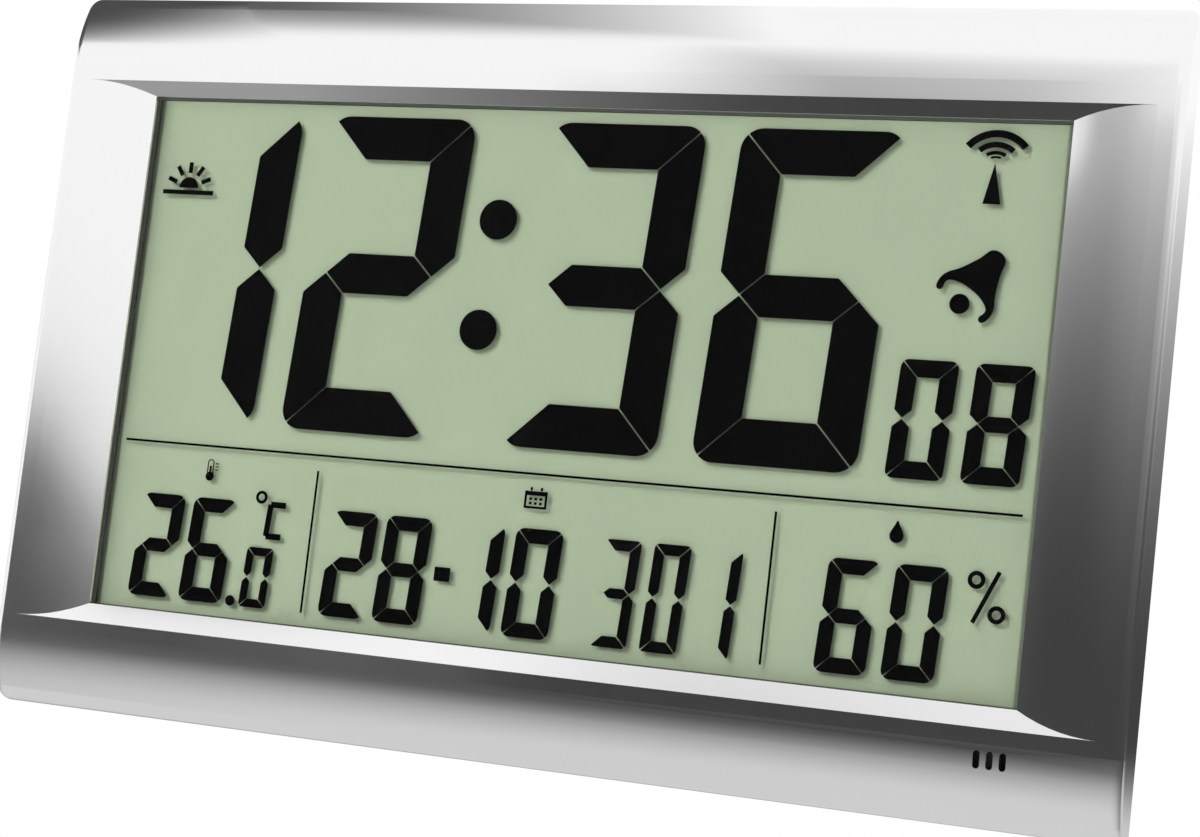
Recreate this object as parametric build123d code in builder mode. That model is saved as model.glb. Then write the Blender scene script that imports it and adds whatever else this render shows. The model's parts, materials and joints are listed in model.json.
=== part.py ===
from build123d import *
import os
from math import acos, asin, degrees, hypot

os.makedirs("parts", exist_ok=True)

# Digital wall clock, millimetres.
# X runs to the viewer's right, Z up, and Y from the viewer towards the wall, which is the plane Y = 0.
# The origin is the centre of the keyhole's round entry, on the wall plane.

# Case
case_width = 370.0
case_height = 238.0
case_depth = 32.0
corner_radius = 5.0
bezel_depth = 18.0
bezel_wall = 2.4
end_edge_radius = 3.0
keyhole_drop = 39.0

# Rolled rails along the top and the bottom
rail_roll_rise = 24.0
rail_roll_radius = 46.0
rail_edge_radius = 8.0

# Window with raking bevels above and below and rolled side bars
side_bar_width = 32.0
rail_height = 34.5
sill_depth = 4.5
window_lip = 1.0
top_bevel_rise = 4.2
bottom_bevel_rise = 6.0
side_roll_width = 24.0

# Air slots in front of the climate sensor
vent_inset_x = 37.4
vent_inset_z = 19.6
vent_pitch = 3.75
vent_width = 1.95
vent_height = 5.1
vent_count = 3

# Display stack
lens_thickness = 1.5
lens_side_margin = 4.0
lens_end_margin = 6.5
lens_corner = 3.0
gasket_thickness = 1.2
gasket_show = 0.5
glass_thickness = 1.1
contact_ledge = 5.0
reflector_thickness = 0.3
reflector_margin = 0.5
stack_clearance = 0.3
tray_plate = 2.0
tray_wall = 2.0
ear_radius = 5.0
zebra_screw_gap = 9.0
zebra_width = 2.2
zebra_clearance = 0.3

# Main board
board_side_inset = 18.0
board_height = 48.0
board_thickness = 1.6
board_top_overlap = 8.5
board_standoff = 2.3
board_post_radius = 2.8
board_hole_inset = 6.0

# Rear cover
cover_inset = 0.8
cover_taper = 12.0
cover_edge_radius = 3.0
cover_wall = 2.2
lip_height = 3.0
lip_thickness = 1.4
lip_clearance = 0.25

# Keyhole
keyhole_radius = 4.5
keyhole_slot_width = 4.5
keyhole_slot_reach = 9.0
keyhole_plate = 2.5
keyhole_pocket_depth = 8.0
keyhole_pocket_margin = 2.5
keyhole_pocket_wall = 1.8

# Fasteners
case_screw_inset_x = 20.0
case_screw_inner_x = 55.0
case_screw_inset_z = 14.0
case_boss_radius = 3.4
cover_boss_radius = 4.4
case_shank_radius = 1.45
case_shank_length = 14.0
case_head_radius = 2.75
case_head_height = 2.0
case_head_sink = 9.0
tray_post_inset = 43.0
tray_post_gap = 6.7
tray_side_post_gap = 9.7
tray_post_radius = 3.0
tray_shank_radius = 1.1
tray_shank_length = 7.0
tray_head_radius = 2.2
tray_head_height = 1.6
board_shank_radius = 0.9
board_shank_length = 4.8
board_head_radius = 1.9
board_head_height = 1.3
thread_clearance = 0.05
hole_clearance = 0.25
pilot_spare = 1.0

# Rear buttons
button_names = ["set", "up", "down", "alarm", "wave", "unit"]
button_first_x = -127.0
button_pitch = 17.0
button_screw_gap = 7.0
button_width = 9.0
button_height = 6.0
button_corner = 1.5
button_proud = 1.5
button_flange = 1.2
button_flange_thickness = 1.0
button_stem = 4.0
button_travel = 1.0
button_stop_gap = 0.1
panel_sink = 2.5
panel_wall = 2.0
panel_margin = 4.0
switch_size = 6.0
switch_height = 3.5
plunger_radius = 1.75
plunger_height = 1.4

# Battery well and door
cell_radius = 7.25
cell_length = 50.5
cell_nub_radius = 2.75
cell_nub_height = 1.0
cell_gap = 1.0
cell_play = 0.25
leaf_reach = 4.0
contact_thickness = 0.4
contact_height = 11.0
contact_tail_width = 3.0
contact_tail_reach = 2.2
well_x = 0.0
well_drop = 44.0
well_wall = 1.6
well_floor = 1.3
door_thickness = 1.9
door_sink = 0.2
door_margin = 3.0
door_clearance = 0.3
door_seat_gap = 0.15
door_headroom = 0.4
hook_x = 18.0
hook_width = 8.0
hook_thickness = 1.2
hook_reach = 2.3
hook_gap = 0.5
latch_width = 10.0
latch_depth = 3.0
grip_width = 16.0
grip_pitch = 2.2
grip_depth = 0.5
grip_count = 3

# Fold-out legs
leg_x = 110.0
leg_foot_inset = 10.0
leg_pivot_sink = 3.2
leg_length = 73.0
leg_top_width = 27.0
leg_foot_width = 22.0
leg_thickness = 3.8
leg_sink = 0.6
leg_rim = 2.0
leg_web = 1.6
leg_heel = 4.0
leg_barrel_radius = 3.0
leg_pin_radius = 1.8
leg_pin_length = 1.9
leg_pin_clearance = 0.06
leg_side_clearance = 0.5
leg_floor_clearance = 0.4
leg_heel_clearance = 1.3

# Antenna
rod_radius = 4.0
rod_length = 110.0
rod_drop = 23.0
rod_sink = 8.0
coil_length = 28.0
coil_radius = 5.5
cradle_x = 48.0
cradle_width = 3.5
cradle_wall = 2.0
cradle_grip = 3.5
cradle_mouth = 7.4
winding_clearance = 0.05

# Sounder
buzzer_x = 95.0
buzzer_radius = 11.5
buzzer_height = 6.0
buzzer_ring_wall = 1.5
buzzer_ring_height = 4.0
sound_hole_radius = 0.9
sound_hole_circle = 5.0
sound_hole_count = 6

# Parts on the boards
chip_radius = 8.0
chip_height = 1.8
chip_offsets = [(28.0, -1.0), (-20.0, -7.0)]
capacitor_radius = 2.5
capacitor_height = 7.0
capacitor_offsets = [(-23.0, 13.0), (-16.0, 13.0), (-9.0, 5.0)]
crystal_radius = 1.5
crystal_length = 8.0
crystal_x = 44.0
crystal_rise = 15.0
receiver_x = 66.0
receiver_drop = 3.0
receiver_width = 26.0
receiver_height = 18.0
receiver_thickness = 1.0
receiver_chip_radius = 4.0
receiver_chip_height = 1.4
header_pin_radius = 0.32
header_pin_length = 3.0
header_pitch = 2.54
header_count = 4
header_inset = 3.0

# Climate sensor
sensor_board_width = 20.0
sensor_board_height = 9.0
sensor_board_thickness = 1.0
sensor_board_y = -23.5
sensor_size = 4.0
sensor_height = 1.2
sensor_post_reach = 7.0
sensor_post_radius = 1.8
sensor_stake_radius = 0.8
sensor_stake_height = 0.6

# Leads
lead_radius = 0.55
lead_bend = 1.4
lead_reach = 8.0
antenna_lead_bend = 4.0
lead_pitch = 1.6
lead_clearance = 0.05
antenna_lead_radius = 0.3

# Edge roundings, as shares of the height or radius they sit on
crown_share = 0.4
drop_share = 0.9
soft_share = 0.15
full_round_share = 0.49

# Depths that follow, from the front to the wall
keyhole_rise = case_height / 2 - keyhole_drop
mid_z = -keyhole_rise
front_y = -case_depth
parting_y = front_y + bezel_depth
sill_y = front_y + sill_depth
seat_y = sill_y + window_lip
lens_back_y = seat_y + lens_thickness
lcd_y = lens_back_y + gasket_thickness
glass_joint_y = lcd_y + glass_thickness
glass_back_y = glass_joint_y + glass_thickness
reflector_back_y = glass_back_y + reflector_thickness
tray_back_y = reflector_back_y + tray_plate
board_front_y = tray_back_y + board_standoff
board_back_y = board_front_y + board_thickness
cover_inner_y = -cover_wall

# Widths and heights that follow, measured from the clock's middle
window_width = case_width - 2 * side_bar_width
window_height = case_height - 2 * rail_height
vent_x = case_width / 2 - vent_inset_x
vent_z = vent_inset_z - case_height / 2
lens_width = window_width + 2 * lens_side_margin
lens_height = window_height + 2 * lens_end_margin
tray_width = lens_width + 2 * (stack_clearance + tray_wall)
tray_height = lens_height + 2 * (stack_clearance + tray_wall)
window_top = window_height / 2
top_crease = window_top + top_bevel_rise
bottom_crease = -window_top - bottom_bevel_rise
roll_tip_x = window_width / 2 + side_roll_width
roll_radius = (side_roll_width**2 + sill_depth**2) / (2 * sill_depth)
lip_width = case_width - 2 * (bezel_wall + lip_clearance)
lip_tall = case_height - 2 * (bezel_wall + lip_clearance)
lip_inner_width = lip_width - 2 * lip_thickness
lip_inner_height = lip_tall - 2 * lip_thickness
cover_width = case_width - 2 * cover_inset
cover_height = case_height - 2 * cover_inset
zebra_z = lens_height / 2 - contact_ledge / 2
board_width = window_width - 2 * board_side_inset
board_z = window_top + board_top_overlap - board_height / 2
board_bottom_z = board_z - board_height / 2
rod_z = board_bottom_z - rod_drop
well_z = rod_z - well_drop
leg_foot_z = leg_foot_inset - case_height / 2
leg_pivot_z = leg_foot_z + leg_length
case_screw_x = case_width / 2 - case_screw_inset_x
case_screw_z = case_height / 2 - case_screw_inset_z
tray_post_x = window_width / 2 - tray_post_inset
tray_post_z = tray_height / 2 + tray_post_gap
tray_side_post_x = tray_width / 2 + tray_side_post_gap
case_screw_points = [
    (side * x, end * case_screw_z)
    for x in (case_screw_inner_x, case_screw_x)
    for side in (-1, 1)
    for end in (-1, 1)
]
tray_post_points = [(side * tray_post_x, end * tray_post_z) for side in (-1, 1) for end in (-1, 1)]
tray_side_points = [(side * tray_side_post_x, 0) for side in (-1, 1)]
board_hole_x = board_width / 2 - board_hole_inset
board_hole_z = board_height / 2 - board_hole_inset
button_z = board_z - board_hole_z + button_screw_gap
zebra_length = 2 * (board_hole_x - zebra_screw_gap)
board_screw_points = [
    (side * board_hole_x, board_z + end * board_hole_z) for side in (-1, 1) for end in (-1, 1)
]
chip_points = [(x, board_z + z) for x, z in chip_offsets]
capacitor_points = [(board_width / 2 + x, board_z + z) for x, z in capacitor_offsets]
crystal_z = board_z + crystal_rise
receiver_z = board_z - receiver_drop
button_points = [(button_first_x + i * button_pitch, button_z) for i in range(len(button_names))]


def level(y):
    """Plane parallel to the wall: local x is X, local y is height above the clock's middle."""
    return Plane(origin=(0, y, mid_z), x_dir=(1, 0, 0), z_dir=(0, -1, 0))


def cross(x):
    """Plane across the clock: local x is depth Y, local y is height above the clock's middle."""
    return Plane(origin=(x, 0, mid_z), x_dir=(0, 1, 0), z_dir=(1, 0, 0))


def plan(z):
    """Horizontal plane at a height above the clock's middle: local x is X, local y is depth Y."""
    return Plane(origin=(0, 0, mid_z + z), x_dir=(1, 0, 0), z_dir=(0, 0, 1))


def write(piece, name):
    piece.label = name
    export_step(piece, f"parts/{name}.step")


def screw_group(points, seat_y, shank_radius, shank_length, head_radius, head_height):
    """Pan-head screws whose heads seat on the plane at seat_y and whose shanks run to the front."""
    with BuildPart() as group:
        with BuildSketch(level(seat_y)):
            with Locations(*points):
                Circle(shank_radius)
        extrude(amount=shank_length)
        with BuildSketch(level(seat_y)):
            with Locations(*points):
                Circle(head_radius)
        extrude(amount=-head_height)
        rims = group.edges().filter_by(GeomType.CIRCLE).group_by(Axis.Y)[-1]
        fillet(rims, head_height * crown_share)
    return group.part


# Front bezel: a rolled block, hollowed to an even wall, with the window sunk into it
def rolled_block(inset):
    """The case's front body, drawn in by inset on every outer face and open at the parting line."""
    flat_z = case_height / 2 - rail_roll_rise
    turn = degrees(asin((rail_roll_rise - rail_edge_radius) / (rail_roll_radius - rail_edge_radius)))
    with BuildPart() as block:
        with BuildSketch(cross(0)):
            with BuildLine():
                face = Line((front_y + inset, 0), (front_y + inset, flat_z))
                roll = JernArc(face @ 1, (0, 1), rail_roll_radius - inset, -turn)
                edge = JernArc(roll @ 1, roll % 1, rail_edge_radius - inset, turn - 90)
                top = Line(edge @ 1, (parting_y, case_height / 2 - inset))
                back = Line(top @ 1, (parting_y, 0))
                Line(back @ 1, face @ 0)
            make_face()
            mirror(about=Plane.XZ)
        extrude(amount=case_width / 2 - inset, both=True)
    return block.part


def bevel_line(depth, rise, shift):
    """Height above the window's edge of a bevel moved outwards by shift, at a depth below the front."""
    slope = rise / sill_depth
    return rise - slope * depth + shift * hypot(1, slope)


with BuildPart() as outer:
    add(rolled_block(0))
    ends = outer.faces().sort_by(Axis.X)
    end_edges = ends[0].edges() + ends[-1].edges()
    fillet(end_edges.filter_by(lambda edge: edge.center().Y < parting_y), end_edge_radius)

with BuildPart() as window_pocket:
    with BuildSketch(cross(0)):
        with BuildLine():
            Polyline(
                (front_y - sill_depth, top_crease),
                (front_y, top_crease),
                (sill_y, window_top),
                (parting_y, window_top),
                (parting_y, -window_top),
                (sill_y, -window_top),
                (front_y, bottom_crease),
                (front_y - sill_depth, bottom_crease),
                close=True,
            )
        make_face()
    extrude(amount=case_width / 2, both=True)
    with BuildSketch(plan(0)):
        with BuildLine():
            mouth = Polyline(
                (0, front_y - sill_depth),
                (roll_tip_x, front_y - sill_depth),
                (roll_tip_x, front_y),
            )
            bar = JernArc(mouth @ 1, (-1, 0), roll_radius, -degrees(asin(side_roll_width / roll_radius)))
            Polyline(bar @ 1, (window_width / 2, parting_y), (0, parting_y), mouth @ 0)
        make_face()
        mirror(about=Plane.YZ)
    extrude(amount=case_height / 2, both=True, mode=Mode.INTERSECT)

# The wall behind the window's bevels and side rolls, down to the lens seat
seat_depth = sill_depth + window_lip
seat_turn = degrees(acos((roll_radius - seat_depth) / (roll_radius - bezel_wall)))
with BuildPart() as surround:
    with BuildSketch(cross(0)):
        with BuildLine():
            Polyline(
                (front_y, window_top + bevel_line(0, top_bevel_rise, bezel_wall)),
                (seat_y, window_top + bevel_line(seat_depth, top_bevel_rise, bezel_wall)),
                (seat_y, -window_top - bevel_line(seat_depth, bottom_bevel_rise, bezel_wall)),
                (front_y, -window_top - bevel_line(0, bottom_bevel_rise, bezel_wall)),
                close=True,
            )
        make_face()
    extrude(amount=case_width / 2, both=True)
    with BuildSketch(plan(0)):
        with BuildLine():
            cheek = Polyline((0, front_y), (roll_tip_x, front_y), (roll_tip_x, front_y + bezel_wall))
            inner_roll = JernArc(cheek @ 1, (-1, 0), roll_radius - bezel_wall, -seat_turn)
            Polyline(inner_roll @ 1, (0, seat_y), cheek @ 0)
        make_face()
        mirror(about=Plane.YZ)
    extrude(amount=case_height / 2, both=True, mode=Mode.INTERSECT)

with BuildPart() as cavity:
    add(rolled_block(bezel_wall))
    add(surround.part, mode=Mode.SUBTRACT)

with BuildPart() as bosses:
    with BuildSketch(level(parting_y)):
        with Locations(*case_screw_points):
            Circle(case_boss_radius)
    extrude(amount=bezel_depth)
    with BuildSketch(level(reflector_back_y)):
        with Locations(*tray_post_points, *tray_side_points):
            Circle(tray_post_radius)
    extrude(amount=reflector_back_y - front_y)
    with BuildSketch(level(sensor_board_y - sensor_board_thickness)):
        with Locations((vent_x - sensor_post_reach, vent_z), (vent_x + sensor_post_reach, vent_z)):
            Circle(sensor_post_radius)
    extrude(amount=sensor_board_y - sensor_board_thickness - front_y)
    add(rolled_block(bezel_wall / 2), mode=Mode.INTERSECT)

with BuildPart() as front_bezel:
    add(outer.part)
    add(cavity.part, mode=Mode.SUBTRACT)
    add(bosses.part)
    add(window_pocket.part, mode=Mode.SUBTRACT)
    with BuildSketch(level(sensor_board_y + sensor_stake_height)):
        with Locations((vent_x - sensor_post_reach, vent_z), (vent_x + sensor_post_reach, vent_z)):
            Circle(sensor_stake_radius)
    extrude(amount=sensor_stake_height + 2 * sensor_board_thickness)
    with BuildSketch(level(parting_y)):
        with Locations(*case_screw_points):
            Circle(case_shank_radius + thread_clearance)
    extrude(amount=case_shank_length - (-case_head_sink - parting_y) + pilot_spare, mode=Mode.SUBTRACT)
    with BuildSketch(level(reflector_back_y)):
        with Locations(*tray_post_points, *tray_side_points):
            Circle(tray_shank_radius + thread_clearance)
    extrude(amount=tray_shank_length - tray_plate + pilot_spare, mode=Mode.SUBTRACT)
    with BuildSketch(level(sensor_board_y - sensor_board_thickness - sensor_height)):
        with Locations((vent_x, vent_z)):
            with GridLocations(vent_pitch, vent_height, vent_count, 1):
                SlotOverall(vent_height, vent_width, rotation=90)
    extrude(amount=case_depth, mode=Mode.SUBTRACT)
write(front_bezel.part, "front_bezel")


# Display stack, from the lens back to the board
with BuildPart() as display_lens:
    with BuildSketch(level(lens_back_y)):
        RectangleRounded(lens_width, lens_height, lens_corner)
    extrude(amount=lens_thickness)
write(display_lens.part, "display_lens")

with BuildPart() as lens_gasket:
    with BuildSketch(level(lcd_y)):
        Rectangle(lens_width, lens_height)
        Rectangle(window_width - 2 * gasket_show, window_height - 2 * gasket_show, mode=Mode.SUBTRACT)
    extrude(amount=gasket_thickness)
write(lens_gasket.part, "lens_gasket")

with BuildPart() as lcd_front_glass:
    with BuildSketch(level(glass_joint_y)):
        Rectangle(lens_width, lens_height)
    extrude(amount=glass_thickness)
write(lcd_front_glass.part, "lcd_front_glass")

with BuildPart() as lcd_rear_glass:
    with BuildSketch(level(glass_back_y)):
        with Locations((0, -contact_ledge / 2)):
            Rectangle(lens_width, lens_height - contact_ledge)
    extrude(amount=glass_thickness)
write(lcd_rear_glass.part, "lcd_rear_glass")

with BuildPart() as lcd_reflector:
    with BuildSketch(level(reflector_back_y)):
        with Locations((0, -contact_ledge / 2)):
            Rectangle(lens_width - 2 * reflector_margin, lens_height - contact_ledge - 2 * reflector_margin)
    extrude(amount=reflector_thickness)
write(lcd_reflector.part, "lcd_reflector")

with BuildPart() as zebra_strip:
    with BuildSketch(level(board_front_y)):
        with Locations((0, zebra_z)):
            Rectangle(zebra_length, zebra_width)
    extrude(amount=board_front_y - glass_joint_y)
write(zebra_strip.part, "zebra_strip")

with BuildPart() as display_tray:
    with BuildSketch(level(tray_back_y)):
        Rectangle(tray_width, tray_height)
        with Locations(*tray_post_points, *tray_side_points):
            Circle(ear_radius)
        for side in (-1, 1):
            for end in (-1, 1):
                with Locations((side * tray_post_x, end * (tray_height / 2 + tray_post_z) / 2)):
                    Rectangle(2 * ear_radius, tray_post_z - tray_height / 2)
            with Locations((side * (tray_width / 2 + tray_side_post_x) / 2, 0)):
                Rectangle(tray_side_post_x - tray_width / 2, 2 * ear_radius)
    extrude(amount=tray_plate)
    with BuildSketch(level(reflector_back_y)):
        Rectangle(tray_width, tray_height)
        Rectangle(tray_width - 2 * tray_wall, tray_height - 2 * tray_wall, mode=Mode.SUBTRACT)
    extrude(amount=reflector_back_y - seat_y - stack_clearance)
    with BuildSketch(level(board_front_y)):
        with Locations(*board_screw_points):
            Circle(board_post_radius)
    extrude(amount=board_standoff)
    with BuildSketch(level(board_front_y)):
        with Locations(*board_screw_points):
            Circle(board_shank_radius + thread_clearance)
    extrude(amount=board_shank_length - board_thickness + thread_clearance, mode=Mode.SUBTRACT)
    with BuildSketch(level(tray_back_y)):
        with Locations(*tray_post_points, *tray_side_points):
            Circle(tray_shank_radius + hole_clearance)
        with Locations((0, zebra_z)):
            Rectangle(zebra_length + 2 * zebra_clearance, zebra_width + 2 * zebra_clearance)
    extrude(amount=tray_plate, mode=Mode.SUBTRACT)
write(display_tray.part, "display_tray")

tray_screws = screw_group(
    tray_post_points + tray_side_points,
    tray_back_y,
    tray_shank_radius,
    tray_shank_length,
    tray_head_radius,
    tray_head_height,
)
write(tray_screws, "tray_screws")


# Main board and what is soldered to its back
with BuildPart() as main_board:
    with BuildSketch(level(board_back_y)):
        with Locations((0, board_z)):
            Rectangle(board_width, board_height)
        with Locations(*board_screw_points):
            Circle(board_shank_radius + hole_clearance, mode=Mode.SUBTRACT)
    extrude(amount=board_thickness)
write(main_board.part, "main_board")

board_screws = screw_group(
    board_screw_points,
    board_back_y,
    board_shank_radius,
    board_shank_length,
    board_head_radius,
    board_head_height,
)
write(board_screws, "board_screws")


def epoxy_drops(points, base_y, radius, height):
    """Low round-shouldered drops of epoxy that stand on a board's back."""
    with BuildPart() as drops:
        with BuildSketch(level(base_y)):
            with Locations(*points):
                Circle(radius)
        extrude(amount=-height)
        fillet(drops.edges().filter_by(GeomType.CIRCLE).group_by(Axis.Y)[-1], height * drop_share)
    return drops.part


write(epoxy_drops(chip_points, board_back_y, chip_radius, chip_height), "driver_chips")

with BuildPart() as smoothing_capacitors:
    with BuildSketch(level(board_back_y)):
        with Locations(*capacitor_points):
            Circle(capacitor_radius)
    extrude(amount=-capacitor_height)
    fillet(smoothing_capacitors.edges().filter_by(GeomType.CIRCLE), capacitor_radius * soft_share)
write(smoothing_capacitors.part, "smoothing_capacitors")

with BuildPart() as quartz_crystal:
    with BuildSketch(cross(crystal_x - crystal_length / 2)):
        with Locations((board_back_y + crystal_radius + lead_clearance, crystal_z)):
            Circle(crystal_radius)
    extrude(amount=crystal_length)
    fillet(quartz_crystal.edges().filter_by(GeomType.CIRCLE), crystal_radius * soft_share)
write(quartz_crystal.part, "quartz_crystal")

with BuildPart() as tact_switches:
    with BuildSketch(level(board_back_y)):
        with Locations(*button_points):
            Rectangle(switch_size, switch_size)
    extrude(amount=-switch_height)
    with BuildSketch(level(board_back_y + switch_height)):
        with Locations(*button_points):
            Circle(plunger_radius)
    extrude(amount=-plunger_height)
write(tact_switches.part, "tact_switches")

receiver_front_y = board_back_y + header_pin_length
with BuildPart() as receiver_board:
    with BuildSketch(level(receiver_front_y)):
        with Locations((receiver_x, receiver_z)):
            Rectangle(receiver_width, receiver_height)
    extrude(amount=-receiver_thickness)
write(receiver_board.part, "receiver_board")

with BuildPart() as header_pins:
    with BuildSketch(level(board_back_y)):
        with Locations((receiver_x, receiver_z - receiver_height / 2 + header_inset)):
            with GridLocations(header_pitch, header_pitch, header_count, 1):
                Circle(header_pin_radius)
    extrude(amount=-header_pin_length)
write(header_pins.part, "header_pins")

receiver_chip = epoxy_drops(
    [(receiver_x, receiver_z + header_inset)],
    receiver_front_y + receiver_thickness,
    receiver_chip_radius,
    receiver_chip_height,
)
write(receiver_chip, "receiver_chip")


# Rear cover: a tapered shell with a locating lip, wells, bosses and cradles
back_height = cover_height / 2
cells_height = 4 * cell_radius + cell_gap
well_length = cell_length + leaf_reach + 2 * contact_thickness + cell_play
well_height = cells_height + 2 * cell_play
door_inner_y = -door_sink - door_thickness
well_floor_y = door_inner_y - door_headroom - 2 * cell_radius - cell_play
door_width = well_length + 2 * door_margin
door_height = well_height + 2 * door_margin
door_top_z = well_z + door_height / 2
seat_ledge_y = door_inner_y - door_seat_gap
ledge_y = seat_ledge_y - well_wall
hook_outer_y = cover_inner_y - hook_gap
hook_inner_y = hook_outer_y - hook_thickness
leg_well_width = leg_top_width + 2 * leg_side_clearance
leg_floor_y = -leg_pivot_sink - leg_barrel_radius - leg_floor_clearance
leg_well_top = leg_pivot_z + leg_heel + leg_heel_clearance
pocket_top = keyhole_rise + keyhole_slot_reach + keyhole_radius + keyhole_pocket_margin
pocket_bottom = keyhole_rise - keyhole_radius - keyhole_pocket_margin
pocket_width = 2 * (keyhole_radius + keyhole_pocket_margin)
pocket_inner_y = -keyhole_plate - keyhole_pocket_depth
panel_x = button_first_x + button_pitch * (len(button_names) - 1) / 2
panel_width = button_pitch * (len(button_names) - 1) + button_width + 2 * panel_margin
panel_height = button_height + 2 * panel_margin
panel_inner_y = -panel_sink - panel_wall

with BuildPart() as cover_outer:
    with BuildSketch(level(parting_y)):
        RectangleRounded(cover_width, cover_height, corner_radius - cover_inset)
    extrude(amount=parting_y, taper=cover_taper)
    fillet(cover_outer.faces().sort_by(Axis.Y)[-1].edges(), cover_edge_radius)

with BuildPart() as cover_hollow:
    with BuildSketch(level(parting_y)):
        RectangleRounded(lip_inner_width, lip_inner_height, corner_radius / 2)
    extrude(amount=parting_y + cover_wall, taper=cover_taper)

# Everything moulded inside the shell, trimmed to the shell's own outside
with BuildPart() as cover_inside:
    with BuildSketch(level(0)):
        with Locations(*case_screw_points):
            Circle(cover_boss_radius)
    extrude(amount=-parting_y)
    with BuildSketch(level(0)):
        with Locations((well_x, well_z)):
            Rectangle(door_width + 2 * well_wall, door_height + 2 * well_wall)
    extrude(amount=-ledge_y)
    with BuildSketch(level(0)):
        with Locations((well_x, well_z)):
            Rectangle(well_length + 2 * well_wall, well_height + 2 * well_wall)
    extrude(amount=-(well_floor_y - well_floor))
    with BuildSketch(level(0)):
        for side in (-1, 1):
            with Locations((side * leg_x, (leg_well_top + well_wall - back_height) / 2)):
                Rectangle(leg_well_width + 2 * well_wall, leg_well_top + well_wall + back_height)
    extrude(amount=-(leg_floor_y - well_wall))
    with BuildSketch(level(0)):
        with Locations((0, (pocket_top + pocket_bottom) / 2)):
            Rectangle(
                pocket_width + 2 * keyhole_pocket_wall,
                pocket_top - pocket_bottom + 2 * keyhole_pocket_wall,
            )
    extrude(amount=-(pocket_inner_y - keyhole_pocket_wall))
    with BuildSketch(level(0)):
        with Locations((panel_x, button_z)):
            Rectangle(panel_width + 2 * panel_wall, panel_height + 2 * panel_wall)
    extrude(amount=-panel_inner_y)
    with BuildSketch(level(0)):
        with Locations((buzzer_x, button_z)):
            Circle(buzzer_radius + hole_clearance + buzzer_ring_wall)
            Circle(buzzer_radius + hole_clearance, mode=Mode.SUBTRACT)
    extrude(amount=cover_wall + buzzer_ring_height)
    with BuildSketch(level(0)):
        with Locations((-cradle_x, rod_z), (cradle_x, rod_z)):
            Rectangle(cradle_width, 2 * (rod_radius + cradle_wall))
    extrude(amount=rod_sink + cradle_grip)
    add(cover_outer.part, mode=Mode.INTERSECT)

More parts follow.
